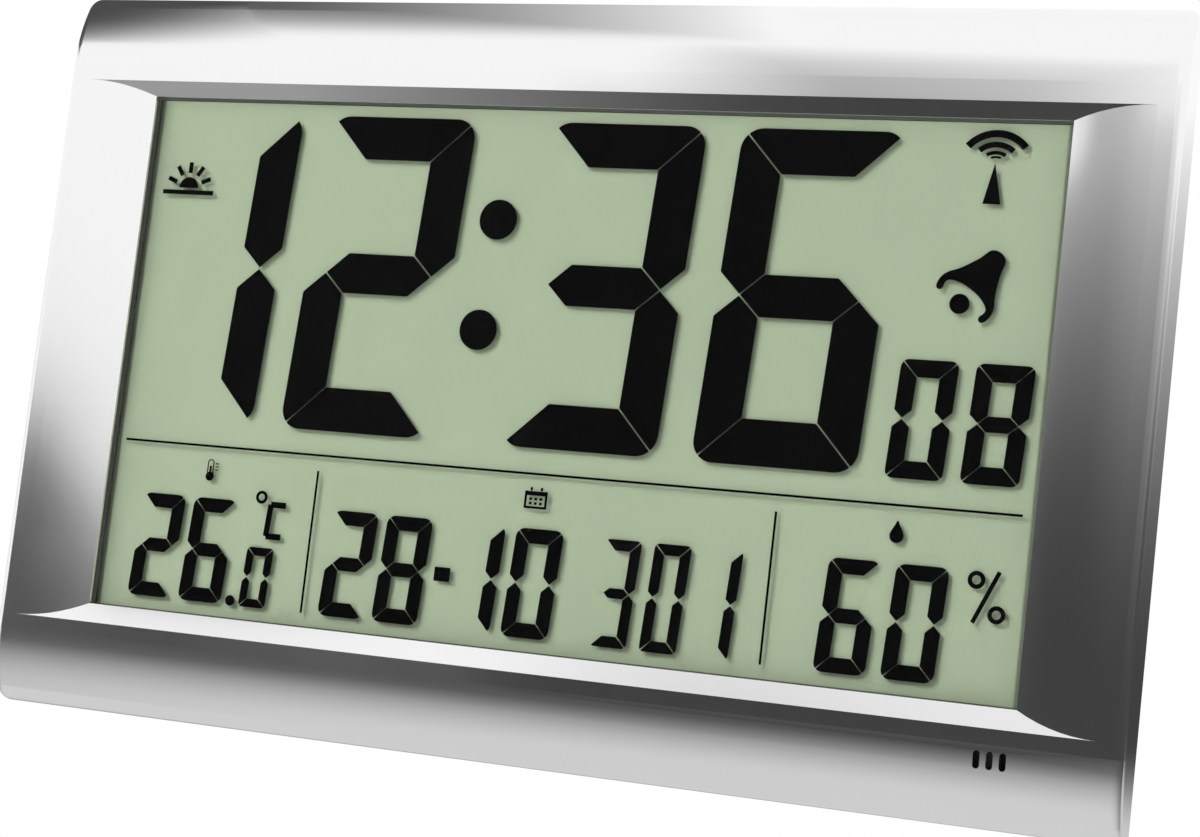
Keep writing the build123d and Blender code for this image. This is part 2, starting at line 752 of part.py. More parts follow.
with BuildPart() as rear_cover:
    add(cover_outer.part)
    add(cover_hollow.part, mode=Mode.SUBTRACT)
    add(cover_inside.part)
    with BuildSketch(level(parting_y)):
        RectangleRounded(lip_width, lip_tall, corner_radius / 2 + lip_thickness)
        RectangleRounded(lip_inner_width, lip_inner_height, corner_radius / 2, mode=Mode.SUBTRACT)
    extrude(amount=lip_height)
    # screw holes with deep counterbores
    with BuildSketch(level(0)):
        with Locations(*case_screw_points):
            Circle(case_shank_radius + hole_clearance)
    extrude(amount=-parting_y, mode=Mode.SUBTRACT)
    with BuildSketch(level(0)):
        with Locations(*case_screw_points):
            Circle(case_head_radius + 2 * hole_clearance)
    extrude(amount=case_head_sink, mode=Mode.SUBTRACT)
    # keyhole: round entry, upward slot, and the pocket for the screw head
    with BuildSketch(level(0)):
        with Locations((0, keyhole_rise)):
            Circle(keyhole_radius)
        with Locations((0, keyhole_rise + keyhole_slot_reach / 2)):
            SlotCenterToCenter(keyhole_slot_reach, keyhole_slot_width, rotation=90)
    extrude(amount=keyhole_plate, mode=Mode.SUBTRACT)
    with BuildSketch(level(-keyhole_plate)):
        with Locations((0, (pocket_top + pocket_bottom) / 2)):
            Rectangle(pocket_width, pocket_top - pocket_bottom)
    extrude(amount=keyhole_pocket_depth, mode=Mode.SUBTRACT)
    # button panel
    with BuildSketch(level(0)):
        with Locations((panel_x, button_z)):
            RectangleRounded(panel_width, panel_height, panel_margin)
    extrude(amount=panel_sink, mode=Mode.SUBTRACT)
    with BuildSketch(level(-panel_sink)):
        with Locations(*button_points):
            RectangleRounded(
                button_width + 2 * hole_clearance,
                button_height + 2 * hole_clearance,
                button_corner + hole_clearance,
            )
    extrude(amount=panel_wall, mode=Mode.SUBTRACT)
    # battery well, door seat, hook slots and contact slots
    with BuildSketch(level(0)):
        with Locations((well_x, well_z)):
            Rectangle(door_width + 2 * door_clearance, door_height + 2 * door_clearance)
    extrude(amount=-seat_ledge_y, mode=Mode.SUBTRACT)
    with BuildSketch(level(0)):
        with Locations((well_x, well_z)):
            Rectangle(well_length, well_height)
    extrude(amount=-well_floor_y, mode=Mode.SUBTRACT)
    hook_slot_top = door_top_z + hook_reach + 2 * hook_gap
    hook_slot_height = hook_slot_top - (well_z + well_height / 2)
    with BuildSketch(level(door_inner_y)):
        for side in (-1, 1):
            with Locations((well_x + side * hook_x, hook_slot_top - hook_slot_height / 2)):
                Rectangle(hook_width + 2 * hook_gap, hook_slot_height)
    extrude(amount=door_inner_y - hook_inner_y + 3 * hook_gap, mode=Mode.SUBTRACT)
    tail_y = (well_floor_y + door_inner_y) / 2 - contact_tail_width
    with BuildSketch(level(tail_y + hole_clearance)):
        for side in (-1, 1):
            tail_z = well_z + side * (cell_radius + cell_gap / 2)
            with Locations((well_x + well_length / 2 + well_wall / 2, tail_z)):
                Rectangle(well_wall, contact_tail_width + 2 * hole_clearance)
    extrude(amount=contact_thickness + 2 * hole_clearance, mode=Mode.SUBTRACT)
    # leg wells, open at the lower edge, and the trunnion holes in their sides
    with BuildSketch(level(0)):
        for side in (-1, 1):
            with Locations((side * leg_x, (leg_well_top - case_height / 2) / 2)):
                Rectangle(leg_well_width, leg_well_top + case_height / 2)
    extrude(amount=-leg_floor_y, mode=Mode.SUBTRACT)
    for side in (-1, 1):
        with BuildSketch(cross(side * leg_x)):
            with Locations((-leg_pivot_sink, leg_pivot_z)):
                Circle(leg_pin_radius + leg_pin_clearance)
        extrude(amount=leg_well_width / 2 + well_wall, both=True, mode=Mode.SUBTRACT)
    # sound holes
    with BuildSketch(level(0)):
        with Locations((buzzer_x, button_z)):
            Circle(sound_hole_radius)
            with PolarLocations(sound_hole_circle, sound_hole_count):
                Circle(sound_hole_radius)
    extrude(amount=cover_wall, mode=Mode.SUBTRACT)
    # rod cradles: a round seat with a narrower mouth
    with BuildSketch(cross(0)):
        with Locations((-rod_sink, rod_z)):
            Circle(rod_radius + winding_clearance)
        with Locations((-rod_sink - cradle_grip / 2, rod_z)):
            Rectangle(cradle_grip, cradle_mouth)
    extrude(amount=rod_length / 2, both=True, mode=Mode.SUBTRACT)
write(rear_cover.part, "rear_cover")

case_screws = screw_group(
    case_screw_points,
    -case_head_sink,
    case_shank_radius,
    case_shank_length,
    case_head_radius,
    case_head_height,
)
write(case_screws, "case_screws")


# Rear buttons, each held by its flange behind the panel
button_outer_y = button_proud - panel_sink
stem_end_y = board_back_y + switch_height + plunger_height + button_stop_gap + button_travel
for name, (x, z) in zip(button_names, button_points):
    with BuildPart() as button:
        with BuildSketch(level(panel_inner_y)):
            with Locations((x, z)):
                RectangleRounded(button_width, button_height, button_corner)
        extrude(amount=panel_inner_y - button_outer_y)
        fillet(button.faces().sort_by(Axis.Y)[-1].edges(), button_corner * crown_share)
        with BuildSketch(level(panel_inner_y)):
            with Locations((x, z)):
                Rectangle(button_width + 2 * button_flange, button_height + 2 * button_flange)
        extrude(amount=button_flange_thickness)
        with BuildSketch(level(panel_inner_y - button_flange_thickness)):
            with Locations((x, z)):
                Rectangle(button_stem, button_stem)
        extrude(amount=panel_inner_y - button_flange_thickness - stem_end_y)
    write(button.part, f"{name}_button")


# Battery door: a plate with a round upper edge, two hooks, a latch tab and thumb grooves
with BuildPart() as battery_door:
    with BuildSketch(level(door_inner_y)):
        with Locations((well_x, well_z)):
            Rectangle(door_width, door_height)
    extrude(amount=-door_thickness)
    fillet(battery_door.edges().filter_by(Axis.X).group_by(Axis.Z)[-1], door_thickness * full_round_share)
    for side in (-1, 1):
        with BuildSketch(cross(well_x + side * hook_x)):
            with BuildLine():
                Polyline(
                    (door_inner_y, door_top_z - 2 * hook_thickness),
                    (hook_inner_y, door_top_z - 2 * hook_thickness),
                    (hook_inner_y, door_top_z + hook_reach),
                    (hook_outer_y, door_top_z + hook_reach),
                    (hook_outer_y, door_top_z - hook_thickness),
                    (door_inner_y, door_top_z - hook_thickness),
                    close=True,
                )
            make_face()
        extrude(amount=hook_width / 2, both=True)
    with BuildSketch(level(door_inner_y)):
        with Locations((well_x, well_z - well_height / 2 + hook_gap + hook_thickness / 2)):
            Rectangle(latch_width, hook_thickness)
    extrude(amount=latch_depth)
    with BuildSketch(level(-door_sink)):
        with Locations((well_x, well_z - door_height / 2 + grip_pitch * (grip_count + 1) / 2)):
            with GridLocations(grip_pitch, grip_pitch, 1, grip_count):
                SlotOverall(grip_width, grip_pitch / 2)
    extrude(amount=grip_depth, mode=Mode.SUBTRACT)
write(battery_door.part, "battery_door")


# Battery cells: the upper one has its nub to the right, the lower one to the left
cell_y = door_inner_y - door_headroom - cell_radius
plate_x = well_length / 2 - contact_thickness
cell_rows = [(1, well_z + cell_radius + cell_gap / 2), (-1, well_z - cell_radius - cell_gap / 2)]
with BuildPart() as battery_cells:
    for side, z in cell_rows:
        nub_x = well_x + side * (plate_x - winding_clearance)
        with BuildSketch(cross(nub_x)):
            with Locations((cell_y, z)):
                Circle(cell_nub_radius)
        extrude(amount=-side * 2 * cell_nub_height)
        with BuildSketch(cross(nub_x - side * cell_nub_height)):
            with Locations((cell_y, z)):
                Circle(cell_radius)
        extrude(amount=-side * (cell_length - cell_nub_height))
write(battery_cells.part, "battery_cells")


# Sheet-metal contacts: flat plates for the nubs and bent leaves for the flat ends
leaf_x = plate_x - leaf_reach + contact_thickness / 2 + winding_clearance


def contact_plate(side, z, height):
    """Flat plate against the well's end wall."""
    with BuildPart() as plate:
        with BuildSketch(cross(well_x + side * plate_x)):
            with Locations((cell_y, z)):
                Rectangle(contact_height, height)
        extrude(amount=side * contact_thickness)
    return plate.part


def contact_leaf(side, z):
    """Leaf bent out from the plate's deep edge to press on a cell's flat end."""
    bend_x = well_x + side * (plate_x + contact_thickness / 2)
    tip_x = well_x + side * leaf_x
    with BuildPart() as leaf:
        with BuildSketch(plan(z - contact_height / 4)):
            with BuildLine():
                Polyline(
                    (bend_x, cell_y - contact_height / 2),
                    (tip_x, cell_y - contact_height / 8),
                    (tip_x, cell_y + contact_height / 8),
                    (bend_x - side * leaf_reach / 3, cell_y + contact_height / 3),
                )
            trace(line_width=contact_thickness)
        extrude(amount=contact_height / 2)
    return leaf.part


def contact_tail(z):
    """Solder tail that passes through the well's right-hand end wall."""
    with BuildPart() as tail:
        with BuildSketch(level(tail_y)):
            with Locations((well_x + plate_x, z)):
                Rectangle(
                    contact_thickness + well_wall + contact_tail_reach,
                    contact_tail_width,
                    align=(Align.MIN, Align.CENTER),
                )
        extrude(amount=contact_thickness)
    return tail.part


upper_z = cell_rows[0][1]
lower_z = cell_rows[1][1]
with BuildPart() as positive_contact:
    add(contact_plate(1, upper_z, contact_height))
    add(contact_tail(upper_z))
write(positive_contact.part, "positive_contact")

with BuildPart() as negative_contact:
    add(contact_plate(1, lower_z, contact_height))
    add(contact_leaf(1, lower_z))
    add(contact_tail(lower_z))
write(negative_contact.part, "negative_contact")

with BuildPart() as bridge_contact:
    add(contact_plate(-1, well_z, contact_height + upper_z - lower_z))
    add(contact_leaf(-1, upper_z))
write(bridge_contact.part, "bridge_contact")


# Fold-out legs: a tapered plate with a rim, a barrel across its top and a trunnion each side
leg_outer_y = -leg_sink
leg_inner_y = leg_outer_y - leg_thickness


def leg_outline(inset):
    """Half of the leg's outline, from the middle of its foot to the middle of its heel."""
    with BuildLine() as outline:
        Polyline(
            (0, leg_foot_z + inset),
            (leg_foot_width / 2 - inset, leg_foot_z + inset),
            (leg_top_width / 2 - inset, leg_pivot_z),
            (leg_top_width / 2 - inset, leg_pivot_z + leg_heel - inset),
            (0, leg_pivot_z + leg_heel - inset),
            close=True,
        )
    return outline.line


for side, name in ((-1, "left"), (1, "right")):
    with BuildPart() as leg:
        with BuildSketch(level(leg_inner_y)):
            make_face(leg_outline(0))
            mirror(about=Plane.YZ)
        extrude(amount=-leg_thickness)
        foot = leg.edges().filter_by(Axis.Y).group_by(Axis.Z)[0]
        fillet(foot, 2 * leg_rim)
        with BuildSketch(level(leg_inner_y)):
            make_face(leg_outline(leg_rim))
            mirror(about=Plane.YZ)
        extrude(amount=-(leg_thickness - leg_web), mode=Mode.SUBTRACT)
        with BuildSketch(cross(0)):
            with Locations((-leg_pivot_sink, leg_pivot_z)):
                Circle(leg_barrel_radius)
        extrude(amount=leg_top_width / 2, both=True)
        with BuildSketch(cross(0)):
            with Locations((-leg_pivot_sink, leg_pivot_z)):
                Circle(leg_pin_radius)
        extrude(amount=leg_top_width / 2 + leg_pin_length, both=True)
    write(leg.part.moved(Location((side * leg_x, 0, 0))), f"stand_leg_{name}")


# Time-signal antenna
with BuildPart() as ferrite_rod:
    with BuildSketch(cross(0)):
        with Locations((-rod_sink, rod_z)):
            Circle(rod_radius)
    extrude(amount=rod_length / 2, both=True)
    chamfer(ferrite_rod.edges().filter_by(GeomType.CIRCLE), rod_radius * soft_share)
write(ferrite_rod.part, "ferrite_rod")

with BuildPart() as antenna_coil:
    with BuildSketch(cross(0)):
        with Locations((-rod_sink, rod_z)):
            Circle(coil_radius)
            Circle(rod_radius + winding_clearance, mode=Mode.SUBTRACT)
    extrude(amount=coil_length / 2, both=True)
write(antenna_coil.part, "antenna_coil")


# Sounder and climate sensor
with BuildPart() as buzzer:
    with BuildSketch(level(cover_inner_y)):
        with Locations((buzzer_x, button_z)):
            Circle(buzzer_radius)
    extrude(amount=buzzer_height)
    fillet(buzzer.edges().filter_by(GeomType.CIRCLE).group_by(Axis.Y)[0], buzzer_height * soft_share)
write(buzzer.part, "buzzer")

with BuildPart() as sensor_board:
    with BuildSketch(level(sensor_board_y)):
        with Locations((vent_x, vent_z)):
            Rectangle(sensor_board_width, sensor_board_height)
        with Locations((vent_x - sensor_post_reach, vent_z), (vent_x + sensor_post_reach, vent_z)):
            Circle(sensor_stake_radius + thread_clearance, mode=Mode.SUBTRACT)
    extrude(amount=sensor_board_thickness)
write(sensor_board.part, "sensor_board")

with BuildPart() as climate_sensor:
    with BuildSketch(level(sensor_board_y - sensor_board_thickness)):
        with Locations((vent_x, vent_z)):
            Rectangle(sensor_size, sensor_size)
    extrude(amount=sensor_height)
    fillet(climate_sensor.faces().sort_by(Axis.Y)[0].edges(), sensor_height * soft_share)
write(climate_sensor.part, "climate_sensor")


# Leads inside the case, along straight runs and tangent bends
def lead(points, radius, bends):
    """One insulated wire through points given as X, depth and height above the clock's middle."""
    route = [Vector(x, y, mid_z + z) for x, y, z in points]
    with BuildPart() as wire:
        with BuildLine() as path:
            FilletPolyline(*route, radius=bends)
        with BuildSketch(Plane(origin=path.line @ 0, z_dir=path.line % 0)):
            Circle(radius)
        sweep(path=path.line)
    return wire.part


tail_end_x = well_x + plate_x + contact_thickness + well_wall + contact_tail_reach
lead_y = -rod_sink - rod_radius - lead_radius - hole_clearance
lead_end_z = board_bottom_z + board_hole_inset
battery_lead_names = ["red", "black"]
for i, z in enumerate((upper_z, lower_z)):
    rise_x = tail_end_x + lead_reach + 2 * i * lead_pitch
    battery_lead = lead(
        [
            (tail_end_x, tail_y - contact_thickness / 2, z),
            (rise_x, tail_y - contact_thickness / 2, z),
            (rise_x, lead_y, z + lead_reach),
            (rise_x, lead_y, lead_end_z),
            (rise_x, board_back_y, lead_end_z),
        ],
        lead_radius,
        lead_bend,
    )
    write(battery_lead, f"battery_lead_{battery_lead_names[i]}")

with BuildPart() as buzzer_leads:
    with BuildSketch(level(cover_inner_y - buzzer_height)):
        with Locations((buzzer_x, button_z)):
            with GridLocations(buzzer_radius, buzzer_radius, 2, 1):
                Circle(lead_radius)
    extrude(amount=cover_inner_y - buzzer_height - board_back_y)
write(buzzer_leads.part, "buzzer_leads")

with BuildPart() as antenna_leads:
    for side in (-1, 1):
        add(
            lead(
                [
                    (side * coil_length / 4, -rod_sink, rod_z + coil_radius + lead_clearance),
                    (side * coil_length / 4, -rod_sink, lead_end_z),
                    (side * coil_length / 4, board_back_y, lead_end_z),
                ],
                antenna_lead_radius,
                antenna_lead_bend,
            )
        )
write(antenna_leads.part, "antenna_leads")

with BuildPart() as sensor_leads:
    for i in (-1, 0, 1):
        x = vent_x + i * lead_pitch
        z = board_z + i * lead_pitch
        add(
            lead(
                [
                    (x, sensor_board_y, vent_z),
                    (x, lead_y, vent_z),
                    (x, lead_y, z),
                    (board_hole_x, lead_y, z),
                    (board_hole_x, board_back_y, z),
                ],
                lead_radius,
                lead_bend,
            )
        )
write(sensor_leads.part, "sensor_leads")
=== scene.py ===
import json
import math

import bmesh
import bpy
from mathutils import Matrix, Vector


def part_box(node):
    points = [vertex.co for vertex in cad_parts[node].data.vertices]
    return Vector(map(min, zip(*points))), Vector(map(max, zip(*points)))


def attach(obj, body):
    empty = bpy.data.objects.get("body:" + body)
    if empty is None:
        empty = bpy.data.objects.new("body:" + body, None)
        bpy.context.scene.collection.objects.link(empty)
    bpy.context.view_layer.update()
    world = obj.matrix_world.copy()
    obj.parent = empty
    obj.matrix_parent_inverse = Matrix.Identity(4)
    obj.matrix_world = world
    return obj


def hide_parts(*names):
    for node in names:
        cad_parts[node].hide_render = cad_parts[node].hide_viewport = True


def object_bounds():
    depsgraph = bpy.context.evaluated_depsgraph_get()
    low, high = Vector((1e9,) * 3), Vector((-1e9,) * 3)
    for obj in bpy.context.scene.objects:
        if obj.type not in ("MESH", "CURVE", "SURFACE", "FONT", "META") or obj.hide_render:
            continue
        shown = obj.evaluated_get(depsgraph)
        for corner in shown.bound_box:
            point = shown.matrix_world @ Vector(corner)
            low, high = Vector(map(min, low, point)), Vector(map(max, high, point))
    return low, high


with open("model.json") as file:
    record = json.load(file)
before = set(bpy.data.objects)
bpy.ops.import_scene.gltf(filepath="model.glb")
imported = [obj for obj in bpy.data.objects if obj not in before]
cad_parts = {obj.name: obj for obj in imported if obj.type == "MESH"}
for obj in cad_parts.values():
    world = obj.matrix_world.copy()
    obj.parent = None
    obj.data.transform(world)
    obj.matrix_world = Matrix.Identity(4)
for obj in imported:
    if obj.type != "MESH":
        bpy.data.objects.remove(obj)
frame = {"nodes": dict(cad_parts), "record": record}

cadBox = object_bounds()
nodes = frame["nodes"]
mm = 0.001
weld = 1e-7  # metres within which corners become one
white = (1, 1, 1, 1)
bezelLow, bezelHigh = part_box("front_bezel")
middleZ = (bezelLow.z + bezelHigh.z) / 2  # height of the clock's middle
print("frame loaded:", len(nodes), "nodes")


# Helpers for objects and shader nodes
def linkObject(name, data):
    item = bpy.data.objects.new(name, data)
    bpy.context.scene.collection.objects.link(item)
    return item


def meshFrom(name, bm, closed=True):
    if closed:
        bmesh.ops.recalc_face_normals(bm, faces=bm.faces)
    mesh = bpy.data.meshes.new(name)
    bm.to_mesh(mesh)
    bm.free()
    return mesh


def startMaterial(name):
    material = bpy.data.materials.new(name)
    material.use_nodes = True
    return material, material.node_tree, material.node_tree.nodes["Principled BSDF"]


def setInputs(node, values):
    for name, value in values.items():
        node.inputs[name].default_value = value


def addMath(tree, operation, *values):
    # a math node; each value is a number, or an output to link
    node = tree.nodes.new("ShaderNodeMath")
    node.operation = operation
    for socket, value in zip(node.inputs, values):
        if isinstance(value, bpy.types.NodeSocket):
            tree.links.new(value, socket)
        else:
            socket.default_value = value
    return node.outputs[0]


def mapRange(tree, value, source=(0, 1), target=(0, 1), soft=False):
    # a value's place in one span, carried into another
    node = tree.nodes.new("ShaderNodeMapRange")
    node.interpolation_type = "SMOOTHSTEP" if soft else "LINEAR"
    setInputs(node, {"From Min": source[0], "From Max": source[1], "To Min": target[0], "To Max": target[1]})
    tree.links.new(value, node.inputs["Value"])
    return node.outputs["Result"]


def scaledColour(tree, colour, factor):
    tint = tree.nodes.new("ShaderNodeVectorMath")
    tint.operation = "SCALE"
    tree.links.new(colour, tint.inputs[0])
    tree.links.new(factor, tint.inputs["Scale"])
    return tint.outputs["Vector"]


def mixShaders(tree, factor, first, second):
    mix = tree.nodes.new("ShaderNodeMixShader")
    for socket, source in zip(mix.inputs, (factor, first, second)):
        tree.links.new(source, socket)
    return mix.outputs["Shader"]


# Camera: right of the clock and a little below its middle, held slightly turned
cameraSetup = {
    "place": (0.2999, -0.7272, -0.1637),
    "aim": (0.0179, -0.0275, -0.0915),
    "roll": 6.56,  # degrees
    "lens": 75.0,  # millimetres
    "sensor": 36.0,  # millimetres
    "sees": (0.01, 50.0),  # nearest and farthest, in metres
}


def makeCamera(setup):
    data = bpy.data.cameras.new("photoCamera")
    data.lens = setup["lens"]
    data.sensor_width = setup["sensor"]
    data.clip_start, data.clip_end = setup["sees"]
    camera = linkObject("photoCamera", data)
    place = Vector(setup["place"])
    gaze = (Vector(setup["aim"]) - place).to_track_quat("-Z", "Y").to_matrix()
    turn = Matrix.Rotation(math.radians(setup["roll"]), 3, "Z")
    camera.matrix_world = Matrix.Translation(place) @ (gaze @ turn).to_4x4()
    bpy.context.scene.camera = camera


makeCamera(cameraSetup)
print("camera placed")


# Studio: a pale floor that fades to white, a soft key lamp, a rear lamp, a weak fill, and grey cards that
# only mirror rays see
studio = {
    "floorDrop": 0.36,  # metres below the clock's lowest point
    "floorSize": 12.0,
    "floorColour": (0.82, 0.82, 0.81, 1),
    "floorRough": 0.9,
    "fadeStart": 0.7,  # metres from the clock, where the floor begins to turn white
    "fadeEnd": 2.2,
    "fillStrength": 0.36,
    "keyFrom": (-1.1, -1.0, 1.1),  # direction that the lamp's light comes from
    "keySpread": 34.0,  # degrees
    "keyPower": 5.9,
    "keyPasses": ["front_bezel", "lens_gasket"],  # the frame casts no shade of the key on the display
    "keyMisses": ["sensor_board", "climate_sensor", "sensor_leads"],  # they lie in the dark behind the slots
    "rearFrom": (0.8, 1.2, 1.0),
    "rearSpread": 70.0,
    "rearPower": 2.2,
    "lampDistance": 3.0,
}
# both cards above the top rail turn brighter to the right
acrossTop = {"along": (1, 0, 0), "places": (-0.20, 0.05), "tones": (0.05, 1.0), "power": 2.3}
# each card: its corners, and rows of tone. Along a direction, in metres, a row goes from a dark place to a
# bright one by a power, and is even beyond them. Where a card has several rows, the brighter counts
mirroredCards = {
    "horizonCard": {
        "ring": 6.0,
        "corners": 128,
        "rise": 1.9,  # degrees above the clock's middle
        "lean": 3.0,  # degrees more at the far left, fewer at the far right
        "rows": [{"along": (0, 0, 1), "places": (0.0, 1.0), "tones": (0.05, 0.05)}],
    },
    "groundCard": {
        "disc": 6.0,
        "corners": 128,
        "lift": 0.004,  # above the floor
        "rows": [{"along": "outward", "places": (4.5, 0.5), "tones": (0.085, 0.66), "power": 4.5}],
    },
    "rightCard": {
        "low": (-0.07, -0.185, -0.19),
        "high": (0.20, -0.185, 0.042),
        "rows": [
            {"along": (0.4, 0, 1), "places": (-0.125, 0.14), "tones": (0.05, 1.0), "power": 2.8},
            {"along": (0.05, 0, 1), "places": (-0.155, 0.11), "tones": (0.05, 1.0), "power": 2.8},
        ],
    },
    "turnCard": {
        "low": (0.20, -0.185, -0.19),
        "high": (0.50, -0.185, 0.14),
        "rows": [{"along": (0, 0, 1), "places": (-0.20, 0.06), "tones": (0.05, 1.0), "power": 2.8}],
    },
    "railCard": {
        "low": (-0.07, -0.185, 0.042),
        "high": (0.16, -0.185, 0.165),
        "rows": [
            {"along": (0.25, 0, 1), "places": (0.05, 0.15), "tones": (0.40, 1.0)},
            {"along": (1, 0, 0), "places": (0.05, -0.045), "tones": (0.35, 1.0)},
            {"along": (1, 0, 0), "places": (0.08, 0.165), "tones": (0.35, 1.0)},
        ],
    },
    "upperCard": {
        "low": (-0.135, -0.07, 0.055),
        "high": (0.06, 0.06, 0.055),
        "rows": [
            {
                "along": (0, 1, 0), "places": (-0.028, -0.069), "tones": (0.12, 1.0),
                "power": 1.2, "soft": True,
            },
            acrossTop,
        ],
    },
    "cornerCard": {
        "low": (-0.30, -0.086, 0.055),
        "high": (-0.135, 0.06, 0.055),
        "rows": [
            {
                "along": (-0.4, 1, 0), "places": (0.038, -0.022), "tones": (0.075, 1.0),
                "power": 1.2, "soft": True,
            },
            acrossTop,
        ],
    },
    "roofCard": {
        "low": (-0.95, -0.72, 1.60),
        "high": (-0.05, -0.52, 1.60),
        "rows": [
            {"along": (1, 0, 0), "places": (-0.56, -0.82), "tones": (0.64, 1.0), "power": 1.3},
            {"along": (1, 0, 0), "places": (-0.55, -0.28), "tones": (0.64, 0.82)},
        ],
    },
    "lowerCard": {
        "low": (-0.32, -0.075, -0.10),
        "high": (0.19, -0.028, -0.10),
        "oneSided": True,
        "rows": [{"along": (1, 0, 0), "places": (0.04, -0.16), "tones": (0.05, 0.34), "power": 1.5}],
    },
    "sideCard": {
        "low": (0.187, 0.06, -0.26),
        "high": (0.50, 0.06, 0.09),
        "rows": [
            {
                "along": (0, 0, 1), "places": (-0.17, -0.20), "tones": (0.05, 0.60),
                "power": 1.4, "soft": True,
            },
            {"along": (0, 0, 1), "places": (-0.17, 0.03), "tones": (0.05, 1.0), "power": 2.5},
        ],
    },
    "edgeCard": {
        "low": (0.50, -0.185, -0.55),
        "high": (0.50, 0.06, 0.14),
        "rows": [
            {"along": (0, 0, 1), "places": (-0.20, -0.45), "tones": (0.06, 0.62)},
            {"along": (0, 0, 1), "places": (-0.15, 0.065), "tones": (0.06, 1.0), "power": 3.0},
        ],
    },
    "leftCard": {
        "low": (-0.50, -0.30, -0.30),
        "high": (-0.50, 0.60, 0.05),
        "rows": [
            {"along": (0, 1, 0), "places": (0.60, -0.10), "tones": (0.56, 1.0)},
            {"along": (0, 0, 1), "places": (-0.07, 0.0), "tones": (0.0, 1.0)},
        ],
    },
}


def metresAlong(tree, direction):
    # how far a point is along a direction, or outward from the upright axis
    place = tree.nodes.new("ShaderNodeTexCoord")
    measure = tree.nodes.new("ShaderNodeVectorMath")
    if direction == "outward":
        flat = tree.nodes.new("ShaderNodeVectorMath")
        flat.operation = "MULTIPLY"
        flat.inputs[1].default_value = (1, 1, 0)
        tree.links.new(place.outputs["Object"], flat.inputs[0])
        measure.operation = "LENGTH"
        tree.links.new(flat.outputs["Vector"], measure.inputs[0])
    else:
        measure.operation = "DOT_PRODUCT"
        measure.inputs[1].default_value = direction
        tree.links.new(place.outputs["Object"], measure.inputs[0])
    return measure.outputs["Value"]


def toneRow(tree, row):
    rise = mapRange(tree, metresAlong(tree, row["along"]), source=row["places"], soft=row.get("soft", False))
    curve = addMath(tree, "POWER", rise, row.get("power", 1.0))
    return mapRange(tree, curve, target=row["tones"])


def cardMaterial(name, look):
    material = bpy.data.materials.new(name)
    material.use_nodes = True
    tree = material.node_tree
    tree.nodes.clear()
    tone = toneRow(tree, look["rows"][0])
    for row in look["rows"][1:]:
        tone = addMath(tree, "MAXIMUM", tone, toneRow(tree, row))
    glow = tree.nodes.new("ShaderNodeEmission")
    tree.links.new(tone, glow.inputs["Color"])
    shown = glow.outputs["Emission"]
    if look.get("oneSided"):
        face = tree.nodes.new("ShaderNodeNewGeometry")
        through = tree.nodes.new("ShaderNodeBsdfTransparent")
        shown = mixShaders(tree, face.outputs["Backfacing"], shown, through.outputs["BSDF"])
    out = tree.nodes.new("ShaderNodeOutputMaterial")
    tree.links.new(shown, out.inputs["Surface"])
    return material


def makeCard(name, look, floorZ):
    bm = bmesh.new()
    if "ring" in look:
        ring = bmesh.ops.create_circle(bm, segments=look["corners"], radius=look["ring"])["verts"]
        bmesh.ops.translate(bm, verts=ring, vec=(0, 0, floorZ))
        wall = bmesh.ops.extrude_edge_only(bm, edges=bm.edges[:])["geom"]
        for part in wall:
            if isinstance(part, bmesh.types.BMVert):
                rise = look["rise"] - look["lean"] * part.co.x / look["ring"]
                part.co.z = middleZ + look["ring"] * math.tan(math.radians(rise))
    elif "disc" in look:
        bmesh.ops.create_circle(bm, cap_ends=True, segments=look["corners"], radius=look["disc"])
        bmesh.ops.translate(bm, verts=bm.verts, vec=(0, 0, floorZ + look["lift"]))
    else:
        low, high = Vector(look["low"]), Vector(look["high"])
        if low.x == high.x:
            corners = [low, (low.x, high.y, low.z), high, (low.x, low.y, high.z)]
        elif low.y == high.y:
            corners = [low, (high.x, low.y, low.z), high, (low.x, low.y, high.z)]
        else:
            corners = [low, (high.x, low.y, low.z), high, (low.x, high.y, low.z)]
        bm.faces.new([bm.verts.new(corner) for corner in corners])
    card = linkObject(name, meshFrom(name, bm, closed=False))
    card.data.materials.append(cardMaterial(name, look))
    for ray in ("camera", "diffuse", "shadow", "transmission", "volume_scatter"):
        setattr(card, "visible_" + ray, False)
    return card


def floorMaterial(setup):
    # lit paper near the clock, plain white for the camera farther away
    material, tree, shader = startMaterial("floorPaper")
    setInputs(shader, {"Base Color": setup["floorColour"], "Roughness": setup["floorRough"]})
    fade = mapRange(
        tree, metresAlong(tree, "outward"), source=(setup["fadeStart"], setup["fadeEnd"]), soft=True
    )
    path = tree.nodes.new("ShaderNodeLightPath")
    seen = addMath(tree, "MULTIPLY", fade, path.outputs["Is Camera Ray"])
    glow = tree.nodes.new("ShaderNodeEmission")
    glow.inputs["Color"].default_value = white
    shown = mixShaders(tree, seen, shader.outputs["BSDF"], glow.outputs["Emission"])
    tree.links.new(shown, tree.nodes["Material Output"].inputs["Surface"])
    return material


